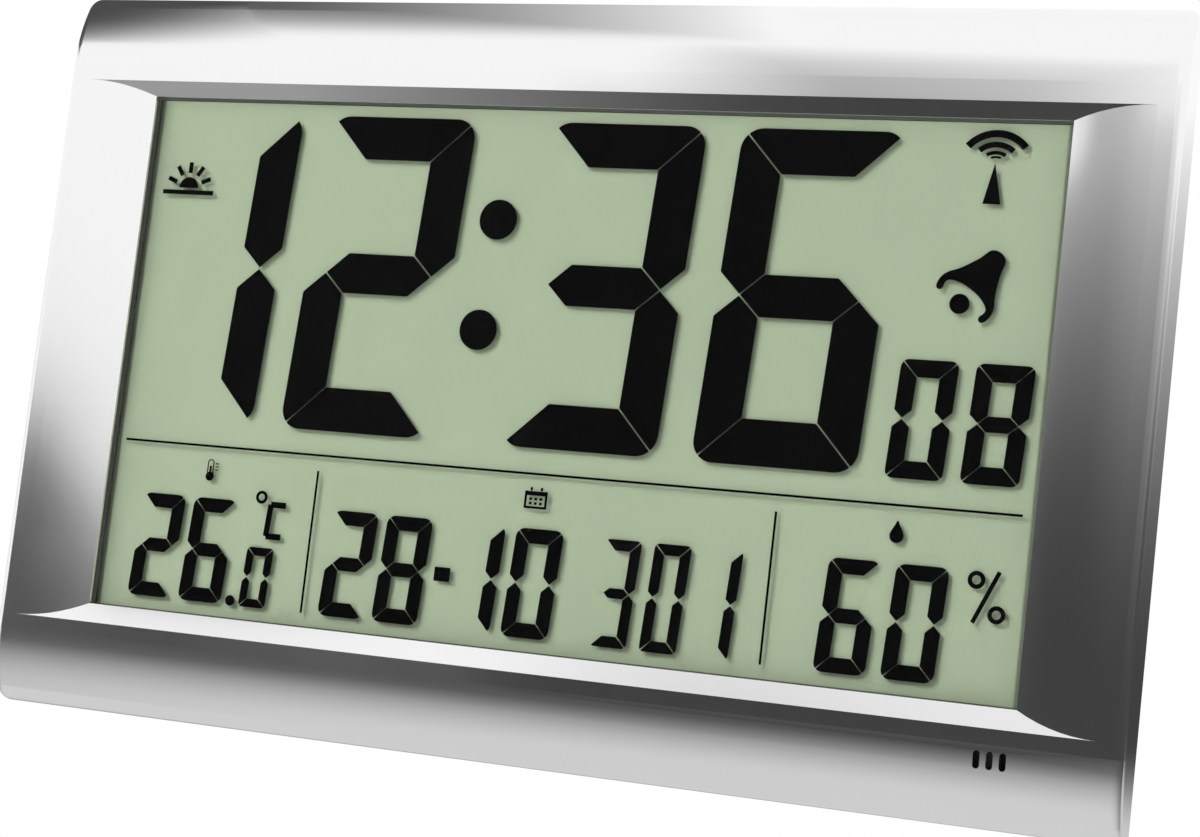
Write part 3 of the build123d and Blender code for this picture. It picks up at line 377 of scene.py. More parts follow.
def makeWorld(setup):
    # white to the camera, in mirrors and through glass, and a weak fill as light
    world = bpy.data.worlds.new("studioWorld")
    bpy.context.scene.world = world
    world.use_nodes = True
    tree = world.node_tree
    tree.nodes.clear()
    fill = tree.nodes.new("ShaderNodeBackground")
    setInputs(fill, {"Color": white, "Strength": setup["fillStrength"]})
    seen = tree.nodes.new("ShaderNodeBackground")
    setInputs(seen, {"Color": white, "Strength": 1.0})
    path = tree.nodes.new("ShaderNodeLightPath")
    direct = path.outputs["Is Camera Ray"]
    for ray in ("Is Glossy Ray", "Is Transmission Ray"):
        direct = addMath(tree, "MAXIMUM", direct, path.outputs[ray])
    shown = mixShaders(tree, direct, fill.outputs["Background"], seen.outputs["Background"])
    out = tree.nodes.new("ShaderNodeOutputWorld")
    tree.links.new(shown, out.inputs["Surface"])


def leftOut(name, setup):
    # the nodes that a lamp leaves out
    group = bpy.data.collections.new(name)
    for node in setup[name]:
        group.objects.link(nodes[node])
    for item in group.collection_objects:
        item.light_linking.link_state = "EXCLUDE"
    return group


def makeLamp(name, setup):
    light = bpy.data.lights.new(name + "Lamp", "SUN")
    light.angle = math.radians(setup[name + "Spread"])
    light.energy = setup[name + "Power"]
    lamp = linkObject(name + "Lamp", light)
    source = Vector(setup[name + "From"])
    lamp.location = setup["lampDistance"] * source
    lamp.rotation_euler = (-source).to_track_quat("-Z", "Y").to_euler()
    lamp.visible_glossy = False
    return lamp


def makeStudio(setup):
    bpy.context.scene.view_settings.view_transform = "Standard"
    floorZ = cadBox[0].z - setup["floorDrop"]
    bm = bmesh.new()
    bmesh.ops.create_grid(bm, x_segments=1, y_segments=1, size=setup["floorSize"] / 2)
    bmesh.ops.translate(bm, verts=bm.verts, vec=(0, 0, floorZ))
    floor = linkObject("studioFloor", meshFrom("studioFloor", bm))
    floor.data.materials.append(floorMaterial(setup))
    [makeCard(name, look, floorZ) for name, look in mirroredCards.items()]

    key = makeLamp("key", setup)
    key.light_linking.blocker_collection = leftOut("keyPasses", setup)
    key.light_linking.receiver_collection = leftOut("keyMisses", setup)
    makeLamp("rear", setup)
    makeWorld(setup)


makeStudio(studio)
print("studio set up")


# Finishes: one shared group gives every opaque surface fine mould or paint grain over a slow, cloudy change
grainNoise = {"grainDetail": 3.0, "cloudDetail": 2.0, "cloudSpan": (0.3, 0.7)}


def newGroup(name, inputs, outputs):
    tree = bpy.data.node_groups.new(name, "ShaderNodeTree")
    for label, kind in inputs:
        tree.interface.new_socket(name=label, in_out="INPUT", socket_type="NodeSocket" + kind)
    for label, kind in outputs:
        tree.interface.new_socket(name=label, in_out="OUTPUT", socket_type="NodeSocket" + kind)
    return tree, tree.nodes.new("NodeGroupInput"), tree.nodes.new("NodeGroupOutput")


def fineGrainGroup(setup):
    tree, head, tail = newGroup(
        "fineGrain",
        [
            ("Vector", "Vector"), ("Grain Scale", "Float"), ("Cloud Scale", "Float"), ("Base", "Color"),
            ("Tint Change", "Float"), ("Smooth", "Float"), ("Rough", "Float"),
        ],
        [("Colour", "Color"), ("Roughness", "Float"), ("Height", "Float")],
    )
    links = tree.links
    fields = []
    for scale, detail in (("Grain Scale", "grainDetail"), ("Cloud Scale", "cloudDetail")):
        noise = tree.nodes.new("ShaderNodeTexNoise")
        noise.inputs["Detail"].default_value = setup[detail]
        links.new(head.outputs["Vector"], noise.inputs["Vector"])
        links.new(head.outputs[scale], noise.inputs["Scale"])
        fields.append(noise.outputs["Fac"])
    grain, cloud = fields
    centred = addMath(tree, "SUBTRACT", addMath(tree, "ADD", grain, cloud), 1.0)
    change = addMath(tree, "MULTIPLY_ADD", centred, head.outputs["Tint Change"], 1.0)
    links.new(scaledColour(tree, head.outputs["Base"], change), tail.inputs["Colour"])
    roughness = mapRange(tree, cloud, source=setup["cloudSpan"])
    links.new(head.outputs["Smooth"], roughness.node.inputs["To Min"])
    links.new(head.outputs["Rough"], roughness.node.inputs["To Max"])
    links.new(roughness, tail.inputs["Roughness"])
    links.new(grain, tail.inputs["Height"])
    return tree


fineGrain = fineGrainGroup(grainNoise)
# what a finish has where its look doesn't say
plainGrain = {"cloud": 30.0, "change": 0.08, "metal": 0.0, "gloss": 0.5, "bump": 0.1, "depth": 0.05}


def grainedMaterial(name, look):
    material, tree, shader = startMaterial(name)
    look = {**plainGrain, **look}
    place = tree.nodes.new("ShaderNodeTexCoord")
    grain = tree.nodes.new("ShaderNodeGroup")
    grain.node_tree = fineGrain
    tree.links.new(place.outputs["Object"], grain.inputs["Vector"])
    setInputs(grain, {
        "Grain Scale": look["grain"],
        "Cloud Scale": look["cloud"],
        "Base": (*look["colour"], 1),
        "Tint Change": look["change"],
        "Smooth": look["rough"][0],
        "Rough": look["rough"][1],
    })
    tree.links.new(grain.outputs["Colour"], shader.inputs["Base Color"])
    tree.links.new(grain.outputs["Roughness"], shader.inputs["Roughness"])
    setInputs(shader, {"Metallic": look["metal"], "Specular IOR Level": look["gloss"]})
    bump = tree.nodes.new("ShaderNodeBump")
    setInputs(bump, {"Strength": look["bump"], "Distance": look["depth"] * mm})
    tree.links.new(grain.outputs["Height"], bump.inputs["Height"])
    tree.links.new(bump.outputs["Normal"], shader.inputs["Normal"])
    return material


def clearMaterial(name, look):
    material, tree, shader = startMaterial(name)
    setInputs(shader, {
        "Base Color": (*look["colour"], 1),
        "Roughness": look["rough"],
        "IOR": look["index"],
        "Alpha": look["alpha"],
    })
    material.surface_render_method = "BLENDED"
    return material


grainedLooks = {
    "silver_paint": {
        "colour": (0.915, 0.915, 0.915), "grain": 3200.0, "cloud": 18.0, "change": 0.03,
        "rough": (0.13, 0.155), "metal": 1.0, "bump": 0.03, "depth": 0.01,
    },
    "black_foam": {
        "colour": (0.042, 0.044, 0.04), "grain": 1800.0, "rough": (0.85, 0.95), "bump": 0.4, "depth": 0.15,
    },
    "reflector_film": {
        "colour": (0.399, 0.479, 0.329), "grain": 2600.0, "cloud": 9.0, "change": 0.03,
        "rough": (0.55, 0.62), "bump": 0.05, "gloss": 0.1,
    },
    "connector_rubber": {"colour": (0.3, 0.3, 0.31), "grain": 1500.0, "rough": (0.7, 0.8), "bump": 0.2},
    "tray_plastic": {"colour": (0.5, 0.51, 0.52), "grain": 1800.0, "rough": (0.45, 0.55), "bump": 0.15},
    "screw_steel": {"colour": (0.55, 0.55, 0.57), "grain": 1500.0, "rough": (0.25, 0.4), "metal": 1.0},
    "circuit_board": {"colour": (0.008, 0.045, 0.022), "grain": 900.0, "rough": (0.35, 0.45), "bump": 0.15},
    "black_epoxy": {"colour": (0.015, 0.015, 0.015), "grain": 600.0, "rough": (0.2, 0.3), "bump": 0.05},
    "can_sleeve": {"colour": (0.03, 0.05, 0.14), "grain": 900.0, "rough": (0.25, 0.35), "bump": 0.05},
    "nickel_can": {"colour": (0.62, 0.61, 0.58), "grain": 1500.0, "rough": (0.25, 0.35), "metal": 1.0},
    "switch_plastic": {"colour": (0.03, 0.03, 0.03), "grain": 1800.0, "rough": (0.5, 0.6), "bump": 0.2},
    "gold_pin": {
        "colour": (0.75, 0.58, 0.28), "grain": 1500.0, "rough": (0.2, 0.3), "metal": 1.0, "bump": 0.05,
    },
    "ferrite": {"colour": (0.07, 0.07, 0.075), "grain": 1200.0, "rough": (0.6, 0.75), "bump": 0.3},
    "copper_wire": {
        "colour": (0.6, 0.28, 0.12), "grain": 2500.0, "rough": (0.3, 0.4), "metal": 1.0, "bump": 0.2,
    },
    "sensor_package": {"colour": (0.05, 0.05, 0.05), "grain": 2200.0, "rough": (0.5, 0.6)},
    "red_sleeve": {"colour": (0.5, 0.02, 0.02), "grain": 1500.0, "rough": (0.35, 0.45), "bump": 0.05},
    "black_sleeve": {"colour": (0.02, 0.02, 0.02), "grain": 1500.0, "rough": (0.35, 0.45), "bump": 0.05},
    "grey_sleeve": {"colour": (0.35, 0.35, 0.36), "grain": 1500.0, "rough": (0.35, 0.45), "bump": 0.05},
    "rear_plastic": {
        "colour": (0.12, 0.122, 0.127), "grain": 1500.0, "cloud": 22.0, "change": 0.12,
        "rough": (0.5, 0.62), "bump": 0.35, "depth": 0.08,
    },
    "button_plastic": {"colour": (0.3, 0.305, 0.31), "grain": 2200.0, "rough": (0.4, 0.48), "bump": 0.15},
    "cell_sleeve": {"colour": (0.1, 0.12, 0.16), "grain": 1500.0, "rough": (0.25, 0.35), "bump": 0.05},
    "spring_steel": {
        "colour": (0.66, 0.66, 0.66), "grain": 1500.0, "rough": (0.22, 0.32), "metal": 1.0, "bump": 0.08,
    },
}
clearLooks = {
    "clear_lens": {"colour": (0.02, 0.022, 0.02), "rough": 0.04, "index": 1.49, "alpha": 0.012},
    "display_glass": {"colour": (0.02, 0.022, 0.02), "rough": 0.03, "index": 1.52, "alpha": 0.004},
}
# the film lies in the frame's shade along its edges: where the shade begins and ends, in millimetres out from
# a middle that is shifted to the left
filmShade = {"shift": -1.0, "across": (151.2, 152.2), "up": (84.0, 86.0), "depth": 0.6}


def shadeFilm(material, look):
    tree = material.node_tree
    shader = tree.nodes["Principled BSDF"]
    place = tree.nodes.new("ShaderNodeTexCoord")
    shift = tree.nodes.new("ShaderNodeVectorMath")
    shift.operation = "SUBTRACT"
    shift.inputs[1].default_value = (look["shift"] * mm, 0, middleZ)
    tree.links.new(place.outputs["Object"], shift.inputs[0])
    away = tree.nodes.new("ShaderNodeVectorMath")
    away.operation = "ABSOLUTE"
    tree.links.new(shift.outputs["Vector"], away.inputs[0])
    axes = tree.nodes.new("ShaderNodeSeparateXYZ")
    tree.links.new(away.outputs["Vector"], axes.inputs["Vector"])
    clear = []
    for axis, key in (("X", "across"), ("Z", "up")):
        start, stop = look[key]
        clear.append(mapRange(
            tree, axes.outputs[axis], source=(start * mm, stop * mm), target=(1, 1 - look["depth"]), soft=True
        ))
    colour = shader.inputs["Base Color"].links[0].from_socket
    shaded = scaledColour(tree, colour, addMath(tree, "MINIMUM", *clear))
    tree.links.new(shaded, shader.inputs["Base Color"])


finishes = {slot: grainedMaterial(slot, look) for slot, look in grainedLooks.items()}
finishes.update({slot: clearMaterial(slot, look) for slot, look in clearLooks.items()})
shadeFilm(finishes["reflector_film"], filmShade)
for part in frame["record"]["subparts"]:
    materials = nodes[part["node"]].data.materials
    materials.clear()
    materials.append(finishes[part["material_slot"]])
print("finishes:", len(finishes))


# Display: dark segments and signs in the joint between the two glass plates, in millimetres from the clock's
# middle
inkLayer = {
    "depth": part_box("lcd_front_glass")[1].y,  # where the plates meet
    "thickness": 0.06 * mm,
    "slant": math.tan(math.radians(3.0)),  # the figures lean by 3 degrees
    "cornerSteps": 6,  # in half of a rounded corner
    "bandSteps": 24,
    "discCorners": 24,
    "ink": {
        "colour": (0.002, 0.002, 0.002), "grain": 900.0, "change": 0.2,
        "rough": (0.55, 0.65), "bump": 0.02, "gloss": 0.0,
    },
}
segmentInk = grainedMaterial("segmentInk", inkLayer["ink"])
litSegments = {
    "0": "abcdef", "1": "bc", "2": "abged", "3": "abgcd", "4": "fgbc",
    "5": "afgcd", "6": "afgedc", "7": "abc", "8": "abcdefg", "9": "abcdfg",
}


def shrunk(loop, amount):
    # a convex anticlockwise outline drawn in by amount on every side
    count = len(loop)
    lines = []
    for i in range(count):
        a, b = Vector(loop[i]), Vector(loop[(i + 1) % count])
        along = (b - a).normalized()
        lines.append((a + amount * Vector((-along.y, along.x)), along))
    corners = []
    parallel = 1e-9
    for i in range(count):
        (p, u), (q, v) = lines[i - 1], lines[i]
        cross = u.x * v.y - u.y * v.x
        if abs(cross) < parallel:
            corners.append(q)
        else:
            w = q - p
            corners.append(p + u * ((w.x * v.y - w.y * v.x) / cross))
    return corners


def arcPoints(centre, radius, start, stop, steps):
    angles = [math.radians(start + (stop - start) * i / steps) for i in range(steps + 1)]
    return [(centre[0] + radius * math.cos(a), centre[1] + radius * math.sin(a)) for a in angles]


def segmentLoops(look):
    # the seven outlines of a figure whose lower left corner is at 0, 0, in anticlockwise order
    w, h, s = look["width"], look["height"], look["stroke"]
    bar, r = look["bar"] / 2, look["corner"]
    mid = h / 2

    def eighth(x, z, start):
        return arcPoints((x, z), r, start, start + 45, inkLayer["cornerSteps"])

    return {
        "a": [*eighth(w - r, h - r, 45), *eighth(r, h - r, 90), (s, h - s), (w - s, h - s)],
        "b": [
            (w - s / 2, mid), (w, mid + bar), *eighth(w - r, h - r, 0), (w - s, h - s), (w - s, mid + bar),
        ],
        "c": [*eighth(w - r, r, 315), (w, mid - bar), (w - s / 2, mid), (w - s, mid - bar), (w - s, s)],
        "d": [*eighth(r, r, 225), *eighth(w - r, r, 270), (w - s, s), (s, s)],
        "e": [*eighth(r, r, 180), (s, s), (s, mid - bar), (s / 2, mid), (0, mid - bar)],
        "f": [(s / 2, mid), (s, mid + bar), (s, h - s), *eighth(r, h - r, 135), (0, mid + bar)],
        "g": [
            (s / 2, mid), (s, mid - bar), (w - s, mid - bar),
            (w - s / 2, mid), (w - s, mid + bar), (s, mid + bar),
        ],
    }


def addPrism(bm, loop):
    # a flat outline made a thin plate
    front = inkLayer["depth"] - inkLayer["thickness"] / 2
    back = inkLayer["depth"] + inkLayer["thickness"] / 2
    near = [bm.verts.new((x * mm, front, middleZ + z * mm)) for x, z in loop]
    far = [bm.verts.new((x * mm, back, middleZ + z * mm)) for x, z in loop]
    bm.faces.new(near)
    bm.faces.new(far[::-1])
    for i in range(len(loop)):
        j = (i + 1) % len(loop)
        bm.faces.new((near[j], near[i], far[i], far[j]))


def addFigure(bm, figure, centreX, lowZ, look):
    loops = segmentLoops(look)
    for letter in litSegments[figure]:
        outline = shrunk(loops[letter], look["gap"] / 2)
        leaned = [
            (centreX + x - look["width"] / 2 + (z - look["height"] / 2) * inkLayer["slant"], lowZ + z)
            for x, z in outline
        ]
        addPrism(bm, leaned)


def addDisc(bm, centre, radius, corners=inkLayer["discCorners"]):
    addPrism(bm, arcPoints(centre, radius, 0, 360 - 360 / corners, corners - 1))


def addBand(bm, centre, radius, stroke, start, stop):
    # part of a ring, between two angles in degrees
    outer = arcPoints(centre, radius + stroke / 2, start, stop, inkLayer["bandSteps"])
    inner = arcPoints(centre, radius - stroke / 2, start, stop, inkLayer["bandSteps"])
    addPrism(bm, [*outer, *inner[::-1]])


def addRing(bm, centre, radius, stroke):
    addBand(bm, centre, radius, stroke, 0, 180)
    addBand(bm, centre, radius, stroke, 180, 360)


def addBar(bm, a, b, stroke):
    a, b = Vector(a), Vector(b)
    side = (b - a).normalized().orthogonal() * stroke / 2
    addPrism(bm, [a - side, b - side, b + side, a + side])


def smoothLoop(points, steps=4):
    # a closed curve through the points
    count = len(points)
    curve = []
    for i in range(count):
        p = [Vector(points[(i + j) % count]) for j in (-1, 0, 1, 2)]
        for k in range(steps):
            t = k / steps
            curve.append(
                0.5 * (2 * p[1] + (p[2] - p[0]) * t + (2 * p[0] - 5 * p[1] + 4 * p[2] - p[3]) * t ** 2
                       + (3 * p[1] - p[0] - 3 * p[2] + p[3]) * t ** 3)
            )
    return curve


def turned(loop, centre, degrees):
    c, s = math.cos(math.radians(degrees)), math.sin(math.radians(degrees))
    return [(centre[0] + x * c - z * s, centre[1] + x * s + z * c) for x, z in loop]


def showPiece(name, bm):
    bmesh.ops.remove_doubles(bm, verts=bm.verts, dist=weld)
    piece = linkObject(name, meshFrom(name, bm))
    piece.data.materials.append(segmentInk)
    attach(piece, "case")


timeBase, fieldBase = -21.9, -80.1  # where the upper figures and the fields' figures stand
timeFigures = {
    "look": {"width": 51.9, "height": 102.9, "stroke": 14.4, "bar": 13.4, "corner": 7.0, "gap": 0.4},
    "figures": [("1", -127.5), ("2", -65.5), ("3", 12.0), ("6", 74.9)],
    "low": timeBase,
    "colon": [(-25.9, 49.1), (-28.3, 13.9)],
    "dotRadius": 6.4,
    "dotCorners": 48,
}
secondFigures = {
    "look": {"width": 17.6, "height": 35.4, "stroke": 5.5, "bar": 4.9, "corner": 2.6, "gap": 0.25},
    "figures": [("0", 116.15), ("8", 138.6)],
    "low": timeBase,
}
fieldFigures = {
    "look": {"width": 16.0, "height": 33.8, "stroke": 4.8, "bar": 4.6, "corner": 3.0, "gap": 0.22},
    "figures": [
        ("2", -133.5), ("6", -114.5), ("2", -63.4), ("8", -44.4),
        ("1", -19.5), ("0", -0.1), ("6", 99.9), ("0", 120.2),
    ],
    "low": fieldBase,
    "point": (-104.0, -78.5),
    "pointRadius": 1.7,
    "dash": ((-33.3, -63.2), (-27.9, -63.2)),
    "dashStroke": 4.4,
}
tenthFigure = {
    "look": {"width": 9.8, "height": 19.5, "stroke": 2.9, "bar": 2.8, "corner": 1.6, "gap": 0.2},
    "figures": [("0", -95.6)],
    "low": fieldBase,
}
dayFigures = {
    "look": {"width": 12.1, "height": 33.0, "stroke": 3.7, "bar": 3.4, "corner": 1.8, "gap": 0.3},
    "figures": [("3", 27.5), ("0", 43.5), ("1", 59.8)],
    "low": fieldBase,
}


def makeFigures(name, setup):
    bm = bmesh.new()
    for figure, x in setup["figures"]:
        addFigure(bm, figure, x, setup["low"], setup["look"])
    for centre in setup.get("colon", []):
        addDisc(bm, centre, setup["dotRadius"], setup["dotCorners"])
    if "point" in setup:
        addDisc(bm, setup["point"], setup["pointRadius"])
    if "dash" in setup:
        addBar(bm, *setup["dash"], setup["dashStroke"])
    showPiece(name, bm)


makeFigures("timeFigures", timeFigures)
makeFigures("secondFigures", secondFigures)
makeFigures("fieldFigures", fieldFigures)
makeFigures("tenthFigure", tenthFigure)
makeFigures("dayFigures", dayFigures)
print("figures made")

fieldRules = {
    "lines": [
        ((-150.2, -29.6), (148.4, -29.6)),
        ((-78.0, -34.6), (-78.0, -79.9)),
        ((75.1, -34.6), (75.1, -79.9)),
    ],
    "stroke": 0.75,
}


def makeRules(setup):
    bm = bmesh.new()
    for line in setup["lines"]:
        addBar(bm, *line, setup["stroke"])
    showPiece("fieldRules", bm)


makeRules(fieldRules)

signalSign = {
    "foot": (130.2, 60.2),
    "tip": 72.4,
    "halfBase": 2.7,
    "hub": 70.0,  # height that the waves spread from
    "waves": [(11.2, 2.2, 50), (7.9, 1.75, 40), (5.5, 1.1, 31), (4.2, 0.65, 21)],  # radius, stroke, spread
}


def makeSignal(setup):
    bm = bmesh.new()
    x, z = setup["foot"]
    addPrism(bm, [(x - setup["halfBase"], z), (x + setup["halfBase"], z), (x, setup["tip"])])
    for radius, stroke, spread in setup["waves"]:
        addBand(bm, (x, setup["hub"]), radius, stroke, 90 - spread, 90 + spread)
    showPiece("signalSign", bm)


makeSignal(signalSign)

bellSign = {
    "mouth": (124.4, 31.3),
    "scale": 1.04,
    "lean": -34.8,  # degrees, crown to the right
    "clapper": 3.0,
    "clapperDrop": 1.1,
    # half of its outline from crown to mouth: across, up from the mouth
    "half": [
        (0.8, 17.1), (2.0, 16.6), (2.9, 15.6), (3.3, 14.2), (3.8, 12.4), (4.6, 10.6), (5.5, 8.7),
        (6.9, 6.2), (8.4, 4.2), (9.2, 2.0), (9.0, -0.4), (8.2, -1.5), (7.1, -1.3), (6.8, -0.3),
        (7.2, 0.9), (7.0, 2.1), (5.8, 3.0), (4.0, 3.6), (2.0, 4.0),
    ],
}


def bellOutline(setup):
    half = setup["half"]
    return [setup["scale"] * p for p in smoothLoop([*half, *[(-x, z) for x, z in reversed(half)]])]


def makeBell(setup):
    bm = bmesh.new()
    addPrism(bm, turned(bellOutline(setup), setup["mouth"], setup["lean"]))
    clapperAt = turned([(0, -setup["clapperDrop"])], setup["mouth"], setup["lean"])[0]
    addDisc(bm, clapperAt, setup["clapper"])
    showPiece("bellSign", bm)


makeBell(bellSign)

unitSigns = {
    "degree": (-97.1, -44.6),
    "degreeRadius": 1.6,
    "degreeStroke": 1.0,
    "celsius": ((-88.0, -46.7), (-93.4, -46.7), (-94.0, -56.9), (-88.6, -56.9)),
    "celsiusStroke": 2.0,
    "percentRings": ((136.9, -49.0), (143.6, -58.5)),
    "percentRadius": 1.95,
    "percentSlash": ((143.4, -46.2), (136.8, -61.3)),
    "percentStroke": 1.3,
}


def makeUnits(setup):
    bm = bmesh.new()
    addRing(bm, setup["degree"], setup["degreeRadius"], setup["degreeStroke"])
    corners = setup["celsius"]
    for a, b in zip(corners, corners[1:]):
        addBar(bm, a, b, setup["celsiusStroke"])
    for centre in setup["percentRings"]:
        addRing(bm, centre, setup["percentRadius"], setup["percentStroke"])
    addBar(bm, *setup["percentSlash"], setup["percentStroke"])
    showPiece("unitSigns", bm)


makeUnits(unitSigns)

morningSign = {
    "centre": (-139.2, 55.1),  # of the sun
    "radius": 3.6,
    "rays": (22, 56, 90, 124, 158),  # degrees
    "raySpan": (5.0, 8.6),  # out from the centre
    "stroke": 1.5,
    "horizonDrop": 1.5,
    "horizonReach": 9.6,
}


def makeMorning(setup):
    bm = bmesh.new()
    x, z = setup["centre"]
    addPrism(bm, arcPoints((x, z), setup["radius"], 0, 180, inkLayer["bandSteps"]))
    for angle in setup["rays"]:
        ray = [turned([(reach, 0)], (x, z), angle)[0] for reach in setup["raySpan"]]
        addBar(bm, *ray, setup["stroke"])
    horizon = z - setup["horizonDrop"]
    addBar(bm, (x - setup["horizonReach"], horizon), (x + setup["horizonReach"], horizon), setup["stroke"])
    showPiece("morningSign", bm)


makeMorning(morningSign)

# small pictures above the three fields; heights and reaches are from each one's place
captionSigns = {
    "thermometer": {
        "at": (-117.2, -37.4),
        "bulb": -2.0,
        "bulbRadius": 1.5,
        "filled": (-0.8, 1.4),
        "fillStroke": 0.75,
        "tube": (-0.9, 2.4),
        "tubeRadius": 1.0,
        "marks": (0.2, 1.2, 2.2),
        "markSpan": (1.7, 2.9),
        "thinStroke": 0.375,
    },
    "calendar": {
        "at": (-2.1, -37.3),
        "stroke": 0.75,
        "side": 3.4,
        "sideSpan": (-3.0, 2.4),
        "loop": 1.7,
        "loopSpan": (2.5, 3.6),
        "edgeReach": 3.0,
        "foot": -2.65,
        "head": 1.7,
        "headStroke": 1.35,
        "columns": (-1.7, 0.0, 1.7),
        "rows": (-1.4, 0.0),
        "dayReach": 0.45,
        "dayStroke": 0.8,
    },
    "drop": {
        "at": (112.2, -37.4),
        "tip": 3.4,
        "foot": -3.25,
        "right": [(0.75, 2.0), (1.55, 0.6), (2.1, -0.8), (1.9, -2.1), (1.1, -2.95)],
    },
}


def addThermometer(bm, look):
    x, z = look["at"]
    addDisc(bm, (x, z + look["bulb"]), look["bulbRadius"])
    low, high = look["filled"]
    addBar(bm, (x, z + low), (x, z + high), look["fillStroke"])
    low, high = look["tube"]
    for wall in (x - look["tubeRadius"], x + look["tubeRadius"]):
        addBar(bm, (wall, z + low), (wall, z + high), look["thinStroke"])
    addBand(bm, (x, z + high), look["tubeRadius"], look["thinStroke"], 0, 180)
    start, stop = look["markSpan"]
    for rise in look["marks"]:
        addBar(bm, (x + start, z + rise), (x + stop, z + rise), look["thinStroke"])


def addCalendar(bm, look):
    x, z = look["at"]
    for turn in (-1, 1):
        for key in ("side", "loop"):
            low, high = look[key + "Span"]
            across = x + turn * look[key]
            addBar(bm, (across, z + low), (across, z + high), look["stroke"])
    reach = look["edgeReach"]
    for height, stroke in ((z + look["foot"], look["stroke"]), (z + look["head"], look["headStroke"])):
        addBar(bm, (x - reach, height), (x + reach, height), stroke)
    reach = look["dayReach"]
    for column in look["columns"]:
        for row in look["rows"]:
            addBar(bm, (x + column - reach, z + row), (x + column + reach, z + row), look["dayStroke"])


def addDrop(bm, look):
    x, z = look["at"]
    right = look["right"]
    outline = [(0, look["tip"]), *right, (0, look["foot"]), *[(-a, b) for a, b in reversed(right)]]
    addPrism(bm, [(x + a, z + b) for a, b in reversed(smoothLoop(outline))])


def makeCaptions(setup):
    bm = bmesh.new()
    addThermometer(bm, setup["thermometer"])
    addCalendar(bm, setup["calendar"])
    addDrop(bm, setup["drop"])
    showPiece("captionSigns", bm)


makeCaptions(captionSigns)
print("signs made")


# Rear buttons: a printed sign on each cap
buttonSigns = {
    "stroke": 0.45,
    "reach": 1.5,  # half of a sign's height; the places and radii below are in shares of it
    "arrow": [(-1.1, -0.8), (1.1, -0.8), (0, 1)],
    "mast": [(-0.4, -1), (0.4, -1), (0, 0.2)],
    "waveHub": (0, -0.2),
    "waveRadii": (0.675, 1.26),
    "waveSpan": (42, 138),  # degrees
    "degree": (-0.9, 0.6),
    "degreeRadius": 0.28,
    "degreeStroke": 0.36,
    "cup": (0.35, -0.1),
    "cupRadius": 0.75,
    "cupSpan": (50, 310),  # degrees
    # the display's bell, upright: its height, its middle and its clapper, in its own measure
    "bellHeight": 19.0,
    "bellMiddle": 7.5,
    "clapperDrop": 8.0,
    "clapperRadius": 2.6,
    "ink": {"colour": (0.012, 0.012, 0.013), "grain": 2400.0, "rough": (0.5, 0.6), "bump": 0.05},
}
signInk = grainedMaterial("signInk", buttonSigns["ink"])


def drawSign(bm, button, look):
    stroke, reach = look["stroke"], look["reach"]

    def sized(*points):
        return [(reach * x, reach * z) for x, z in points]

    if button == "set_button":
        addRing(bm, (0, 0), reach - stroke / 2, stroke)
        addDisc(bm, (0, 0), stroke)
    elif button == "up_button":
        addPrism(bm, sized(*look["arrow"]))
    elif button == "down_button":
        addPrism(bm, turned(sized(*look["arrow"]), (0, 0), 180))
    elif button == "alarm_button":
        share = 2 * reach / look["bellHeight"]
        addPrism(bm, [(share * x, share * (z - look["bellMiddle"])) for x, z in bellOutline(bellSign)])
        addDisc(bm, (0, -share * look["clapperDrop"]), share * look["clapperRadius"])
    elif button == "wave_button":
        addPrism(bm, sized(*look["mast"]))
        for radius in look["waveRadii"]:
            addBand(bm, *sized(look["waveHub"]), reach * radius, stroke, *look["waveSpan"])
    else:
        addRing(bm, *sized(look["degree"]), reach * look["degreeRadius"], look["degreeStroke"])
        addBand(bm, *sized(look["cup"]), reach * look["cupRadius"], stroke, *look["cupSpan"])


def makeSign(button, look):
    # drawn where the display's signs are, then carried to the button's cap and turned to the rear
    bm = bmesh.new()
    drawSign(bm, button, look)
    low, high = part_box(button)
    cap = Vector(((low.x + high.x) / 2, high.y, (low.z + high.z) / 2))
    home = Vector((0, inkLayer["depth"], middleZ))
    turn = Matrix.Translation(cap) @ Matrix.Rotation(math.pi, 4, "Z") @ Matrix.Translation(-home)
    bmesh.ops.transform(bm, matrix=turn, verts=bm.verts)
    bmesh.ops.remove_doubles(bm, verts=bm.verts, dist=weld)
    sign = linkObject(button + "Sign", meshFrom(button + "Sign", bm))
    sign.data.materials.append(signInk)
    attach(sign, button)


for button in ("set_button", "up_button", "down_button", "alarm_button", "wave_button", "unit_button"):
    makeSign(button, buttonSigns)
print("button signs made")


# Display cell: the two plates bonded into one clear block, so light passes it in few steps
cellGlass = {"edge": 0.15 * mm, "edgeSteps": 2}


